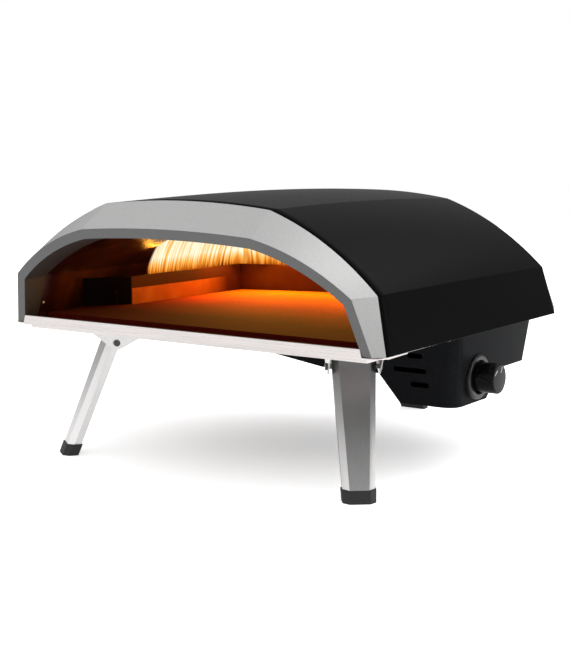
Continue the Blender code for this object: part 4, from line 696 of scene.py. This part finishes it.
# %% Liner and its rivets
LINER_WALL = 1.0 * MM
LINER_FRONT_Y = FLANGE_BACK + SHEET_GAP
LINER_BACK_Y = 488.0 * MM
LINER_FOOT = 4.0 * MM
LINER_SECTIONS = 12
RIVET_RADIUS = 2.4 * MM
RIVET_RISE = 1.1 * MM
RIVET_DEPTH = 32.9 * MM
RIVET_Z = 207.7 * MM
RIVET_SEAT = 1.2 * LINER_WALL   # how far inside the wall's outer face the head begins
RIVET_ROWS = 6
RIVET_STEPS = 16

section = with_feet(arch(**LINER_ARCH), LINER_FOOT)
depths = np.linspace(LINER_FRONT_Y, LINER_BACK_Y, LINER_SECTIONS)
tunnel = np.stack([upright(section, depth) for depth in depths])
skin = np.concatenate([tunnel, back_panel(tunnel[-1])])
liner = make_piece("liner_sheet", skin, grid_faces(*skin.shape[:2]), [liner_steel], "oven", "oven_liner",
                   crisp=FOLD_ANGLE)
thicken(liner, LINER_WALL)


def turned_surface(profile, steps, centre):
    """A profile of (radius, height) turned round x: centre + (height, radius·cos, radius·sin)."""
    angle = np.linspace(0.0, 2.0 * math.pi, steps, endpoint=False)[None, :]
    profile = np.asarray(profile)
    radius, height = profile[:, :1], profile[:, 1:]
    parts = [height + 0.0 * angle, radius * np.cos(angle), radius * np.sin(angle)]
    return np.stack(parts, axis=-1) + np.array(centre)


def arc(centre, radius, start, end, steps):
    """Points of a circular arc between two angles in degrees."""
    angle = np.radians(np.linspace(start, end, steps))
    return np.column_stack([centre[0] + radius * np.cos(angle), centre[1] + radius * np.sin(angle)])


side_slope = (LINER_ARCH["foot"] - LINER_ARCH["side"][0]) / (LINER_ARCH["side"][1] - SHELL_FOOT_Z)
rivet_x = LINER_ARCH["foot"] - side_slope * (RIVET_Z - SHELL_FOOT_Z) - RIVET_SEAT
tilt = np.radians(np.linspace(0.0, 90.0, RIVET_ROWS))
dome = np.column_stack([RIVET_RADIUS * np.sin(tilt), RIVET_RISE * np.cos(tilt)])
heads = []
for side in (-1.0, 1.0):
    head = turned_surface(dome, RIVET_STEPS, (0.0, 0.0, 0.0)) * [-side, 1.0, 1.0]
    heads.append((head + [side * rivet_x, FRONT + RIVET_DEPTH, RIVET_Z]).reshape(-1, 3))
faces = grid_faces(RIVET_ROWS, RIVET_STEPS, close_columns=True)
make_piece("liner_rivets", np.concatenate(heads), np.concatenate([faces, faces + len(heads[0])]),
           [bracket_steel], "oven")
print("liner grid", skin.shape[:2], "and", len(heads), "rivets")

# %% [markdown]
# ## Pressed and boxed sheet from the CAD
# The tray, legs, brackets, housing, guard and stone already have the right shape as solids.
# What they lack is the small radius that every real edge has, and that catches the light.
# A merged copy of each solid gets a bevel, and stands for the node.

# %% Refined copies
TRAY_EDGE = 0.7 * MM
GUARD_EDGE = 0.5 * MM
STONE_EDGE = 1.0 * MM
HOUSING_EDGE = 0.6 * MM
LEG_EDGE = 0.9 * MM
FOOT_EDGE = 0.8 * MM
FITTING_EDGE = 0.4 * MM
FRONT_HEADING = math.radians(38.2)
FRONT_SPLAY = math.radians(21.6)
REAR_SPLAY = math.radians(30.5)
leg_turns = dict(left=(-FRONT_HEADING, FRONT_SPLAY), right=(FRONT_HEADING, FRONT_SPLAY),
                 rear=(math.pi, REAR_SPLAY))
refined("base_tray", tray_steel, "oven", TRAY_EDGE)
refined("burner_guard", guard_steel, "oven", GUARD_EDGE)
refined("baking_stone", stone_material, "stone", STONE_EDGE)
refined("burner_housing", satin_plastic, "oven", HOUSING_EDGE)
for side, (heading, splay) in leg_turns.items():
    steel = leg_steel(side, heading, splay, *LEG_PAINTED_SHADE[side])
    refined(f"{side}_leg", steel, f"{side}_leg_body", LEG_EDGE, 3)
    refined(f"{side}_foot", rubber, f"{side}_leg_body", FOOT_EDGE)
    refined(f"{side}_leg_bracket", bracket_steel, "oven", FITTING_EDGE)
    refined(f"{side}_pivot_pin", pin_steel, "oven", FITTING_EDGE)

# %% [markdown]
# ## The knob and its ring
# Both are turned shapes: a profile of radius and height carried round the knob's axis.  The ring
# is a shallow dish with a rounded crest, which is where its bright spot comes from.  The two ticks
# are thin white strips on the knob's flat face.

# %% Knob, ticks and ring
KNOB_Y = FRONT + 307.0 * MM
KNOB_Z = 116.5 * MM
KNOB_RADIUS = 20.0 * MM
KNOB_ROUND = 2.0 * MM
KNOB_BACK_X = 260.1 * MM
KNOB_TIP_X = 289.5 * MM
TURN_STEPS = 64
knob_rim = arc((KNOB_RADIUS - KNOB_ROUND, KNOB_TIP_X - KNOB_ROUND), KNOB_ROUND, 0.0, 90.0, 7)
knob_profile = np.vstack([[(0.0, KNOB_BACK_X), (KNOB_RADIUS - KNOB_ROUND / 2, KNOB_BACK_X),
                           (KNOB_RADIUS, KNOB_BACK_X + KNOB_ROUND / 2)], knob_rim, [(0.0, KNOB_TIP_X)]])
knob_points = turned_surface(knob_profile, TURN_STEPS, (0.0, KNOB_Y, KNOB_Z))
make_piece("knob_moulding", knob_points, grid_faces(*knob_points.shape[:2], close_columns=True),
           [gloss_plastic], "knob", "control_knob")

TICK_WIDTH = 1.3 * MM
TICK_PROUD = 0.08 * MM
# The two ends of each tick on the knob's face, in millimetres behind the axis and above it.
TICKS = (((-7.2, 12.1), (-14.6, 6.4)), ((6.4, 15.3), (2.9, 7.9)))
for index, (first, last) in enumerate(TICKS, 1):
    ends = np.array([first, last]) * MM
    run = (ends[1] - ends[0]) / np.linalg.norm(ends[1] - ends[0])
    across = np.array([-run[1], run[0]])[None, :] * np.array([-0.5, 0.5])[:, None] * TICK_WIDTH
    flat = ends[:, None, :] + across[None, :, :]
    strip = np.stack([KNOB_TIP_X + TICK_PROUD + 0.0 * flat[..., 0], KNOB_Y + flat[..., 0],
                      KNOB_Z + flat[..., 1]], axis=-1)
    tick = make_piece(f"knob_tick_{index}", strip, grid_faces(*strip.shape[:2]), [tick_white], "knob")
    thicken(tick, TICK_PROUD * 2.0)

RING_RADIUS = 30.0 * MM
RING_BORE = 22.5 * MM
RING_CREST = 2.6 * MM
RING_FRONT_X = 261.2 * MM
RING_GAP = 0.3 * MM             # between the housing's wall and the ring's open edges
HOUSING_DRAFT = 0.100
HOUSING_TOP_Z = 175.7 * MM
HOUSING_RIGHT_X = 260.5 * MM
outer = arc((RING_RADIUS - RING_CREST, RING_FRONT_X - RING_CREST), RING_CREST, 0.0, 90.0, 8)
inner = arc((RING_BORE + RING_CREST / 2, RING_FRONT_X - RING_CREST / 2), RING_CREST / 2, 90.0, 180.0, 6)
ring_profile = np.vstack([[(RING_RADIUS, 0.0)], outer, inner, [(RING_BORE, 0.0)]])
ring_points = turned_surface(ring_profile, TURN_STEPS, (0.0, KNOB_Y, KNOB_Z))
wall_x = HOUSING_RIGHT_X - (HOUSING_TOP_Z - ring_points[..., 2]) * HOUSING_DRAFT + RING_GAP
ring_points[[0, -1], :, 0] = wall_x[[0, -1]]
make_piece("ring_moulding", ring_points,
           grid_faces(*ring_points.shape[:2], close_rows=True, close_columns=True), [ring_plastic],
           "oven", "knob_ring")
print("knob", knob_points.shape[:2], "ring", ring_points.shape[:2])

# %% [markdown]
# ## The rest of the solids
# Screws, pipes, valve and leads are small or hidden, and their solids are right as they are.
# Each keeps its CAD mesh and gets the material of the real thing.

# %% Materials for the carried-over nodes
by_word = (("screw", bracket_steel), ("rail", bracket_steel), ("burner_bracket", burner_steel),
           ("burner_tube", burner_steel), ("rod", burner_steel), ("flame_sensor", burner_steel),
           ("ceramic", alumina), ("blanket", wool), ("lead", lead_rubber), ("piezo", lead_rubber),
           ("valve_bracket", bracket_steel), ("stem", bracket_steel), ("plunger", bracket_steel),
           ("valve_body", brass), ("inlet", brass), ("pipe", brass), ("injector", brass))
carried = 0
for name, node in nodes.items():
    match = [material for word, material in by_word if word in name]
    if match and not node.hide_render:
        node.data.materials.clear()
        node.data.materials.append(match[0])
        carried += 1
print(carried, "nodes keep their own mesh")

# %% [markdown]
# ## Fire
# Gas flames are sheets: they stand on the burner's row of ports behind the guard, lean in over
# the stone and lick along the roof.  Each sheet is a grid of distance along the burner by
# height, pushed inwards with the square of the height.  The material glows and fades by a noise
# that is drawn out upwards, so it breaks into tongues.

# %% Flame sheets
PORT_Z = 227.0 * MM
FLAME_TOP_Z = 292.0 * MM
FLAME_LEAN = 26.0 * MM
FLAME_ALONG = 160
FLAME_UP = 24
GUARD_LINE = np.array([(-0.2040, 0.1505), (-0.1850, 0.3850), (-0.0560, 0.4270), (0.2150, 0.4270)])
FLAME_START_SHARE = 0.08
EDGE_SLANT = 0.25               # how far the flames' left edge runs along the burner as it rises
EDGE_WIDTH = 6.0 * MM           # how far the left edge takes to fade in
FLAME_FOOT = 30.0 * MM          # the height of the flames' dim, broken foot
FLAME_HEATS = (-0.22, 0.30)     # what the foot and the body add to the noise
FLAME_STRENGTH = 1.1
TONGUES_PER_METRE = 260.0       # the noise along the burner, and the sheets' flutter
TONGUE_RISE = 9.0               # the noise upwards, which is much coarser
FLUTTER = 1.2 * MM
ROOF_CLEARANCE = 2.5 * MM
# Each sheet's distance behind the guard, and the place in the noise where it starts.
FLAME_SHEETS = ((14.0 * MM, 0.0), (19.0 * MM, 7.3), (24.0 * MM, 15.1))


def along_line(line, count, start_share):
    """Evenly spaced points and left-hand normals along a polyline, from a share of its length."""
    steps = np.diff(line, axis=0)
    lengths = np.linalg.norm(steps, axis=1)
    reach = np.concatenate([[0.0], np.cumsum(lengths)])
    place = np.linspace(start_share, 1.0, count) * reach[-1]
    points = np.column_stack([np.interp(place, reach, line[:, i]) for i in range(2)])
    run = np.gradient(points, axis=0)
    run /= np.linalg.norm(run, axis=1)[:, None]
    return points, np.column_stack([-run[:, 1], run[:, 0]]), place


def flame_material(name, seed, start):
    """Glowing gas: white-yellow in the body, orange at the foot and the edges, clear between tongues."""
    material = bpy.data.materials.new(name)
    material.use_nodes = True
    tree = material.node_tree
    tree.nodes.clear()
    layout = add_node(tree, "ShaderNodeUVMap", uv_map="flame")
    drawn = add_node(tree, "ShaderNodeMapping",
                     {"Vector": layout.outputs["UV"], "Location": (seed, 0.0, 0.0),
                      "Scale": (TONGUES_PER_METRE, TONGUE_RISE, 1.0)})
    streak = add_node(tree, "ShaderNodeTexNoise",
                      {"Vector": drawn.outputs["Vector"], "Scale": 1.0, "Detail": 2.0, "Distortion": 0.4})
    apart = add_node(tree, "ShaderNodeSeparateXYZ", {"Vector": layout.outputs["UV"]})
    heat = add_node(tree, "ShaderNodeMapRange",
                    {"Value": apart.outputs["Y"], "From Min": 0.0, "From Max": FLAME_FOOT,
                     "To Min": FLAME_HEATS[0], "To Max": FLAME_HEATS[1]})
    body = add_node(tree, "ShaderNodeMath", {0: streak.outputs["Fac"], 1: heat.outputs["Result"]})
    colour = add_node(tree, "ShaderNodeValToRGB", {"Fac": body.outputs["Value"]},
                      stops=[(0.30, linear("#8c3200")), (0.50, linear("#e07818")), (0.66, linear("#ffbe5a")),
                             (0.86, linear("#fff6d8"))])
    glow = add_node(tree, "ShaderNodeEmission",
                    {"Color": colour.outputs["Color"], "Strength": FLAME_STRENGTH})
    clear = add_node(tree, "ShaderNodeBsdfTransparent")
    thick = add_node(tree, "ShaderNodeMapRange",
                     {"Value": body.outputs["Value"], "From Min": 0.30, "From Max": 0.58})
    slant = add_node(tree, "ShaderNodeMath", {0: apart.outputs["Y"], 1: EDGE_SLANT}, operation="MULTIPLY")
    inside = add_node(tree, "ShaderNodeMath", {0: apart.outputs["X"], 1: slant.outputs["Value"]},
                      operation="SUBTRACT")
    edge = add_node(tree, "ShaderNodeMapRange",
                    {"Value": inside.outputs["Value"], "From Min": start, "From Max": start + EDGE_WIDTH})
    shape = add_node(tree, "ShaderNodeMath", {0: thick.outputs["Result"], 1: edge.outputs["Result"]},
                     operation="MULTIPLY")
    mix = add_node(tree, "ShaderNodeMixShader",
                   {0: shape.outputs["Value"], 1: clear.outputs["BSDF"], 2: glow.outputs["Emission"]})
    add_node(tree, "ShaderNodeOutputMaterial", {"Surface": mix.outputs["Shader"]})
    return material


right_roof = section[len(section) // 2 + 1:]
for index, (offset, seed) in enumerate(FLAME_SHEETS, 1):
    base, normal, place = along_line(GUARD_LINE, FLAME_ALONG, FLAME_START_SHARE)
    up = np.linspace(0.0, 1.0, FLAME_UP)[None, :]
    flutter = FLUTTER * np.sin(place[:, None] * TONGUES_PER_METRE + seed) * up
    sideways = offset - FLAME_LEAN * up ** 2 + flutter
    x = base[:, :1] + normal[:, :1] * sideways
    y = base[:, 1:] + normal[:, 1:] * sideways + FRONT
    z = PORT_Z + (FLAME_TOP_Z - PORT_Z) * up + 0.0 * x
    roof_z = np.interp(np.abs(x), right_roof[:, 0], right_roof[:, 1])
    z = np.minimum(z, roof_z - ROOF_CLEARANCE)
    sheet = np.stack([x, y, z], axis=-1)
    flame = make_piece(f"flame_sheet_{index}", sheet, grid_faces(*sheet.shape[:2]),
                       [flame_material(f"gas_flame_{index}", seed, place[0])], "oven",
                       crisp=60.0)
    layer = flame.data.uv_layers.new(name="flame")
    height_at = (FLAME_TOP_Z - PORT_Z) * up + 0.0 * x
    chart = np.stack([place[:, None] + 0.0 * up, height_at], axis=-1).reshape(-1, 2)
    loop_vertex = np.empty(len(flame.data.loops), dtype=np.int32)
    flame.data.loops.foreach_get("vertex_index", loop_vertex)
    layer.data.foreach_set("uv", chart[loop_vertex].ravel())
print(len(FLAME_SHEETS), "flame sheets of", FLAME_ALONG, "by", FLAME_UP)

# %% [markdown]
# The sheets are thin, so what they throw on the stone comes from lamps that stand in them:
# small warm lamps above the guard, looking down across the stone.

# %% Firelight
FIRE_COLOUR = (1.0, 0.42, 0.04)
FIRE_Z = 265.0 * MM
FIRE_HEIGHT = 30.0 * MM
FIRE_AIM_Z = 195.0 * MM
# Each lamp's place and aim as (x, depth), then its width and its watts.
FIRE_PLACES = (((-0.195, 0.290), (-0.06, 0.25), 0.16, 0.45), ((-0.130, 0.390), (-0.05, 0.28), 0.09, 0.75),
               ((0.070, 0.415), (0.07, 0.28), 0.24, 1.1))
for index, ((x, y), (aim_x, aim_y), width, power) in enumerate(FIRE_PLACES, 1):
    add_lamp(f"fire_lamp_{index}", (x, FRONT + y, FIRE_Z), (aim_x, FRONT + aim_y, FIRE_AIM_Z), width, power,
             FIRE_COLOUR, FIRE_HEIGHT)
print(len(FIRE_PLACES), "fire lamps")
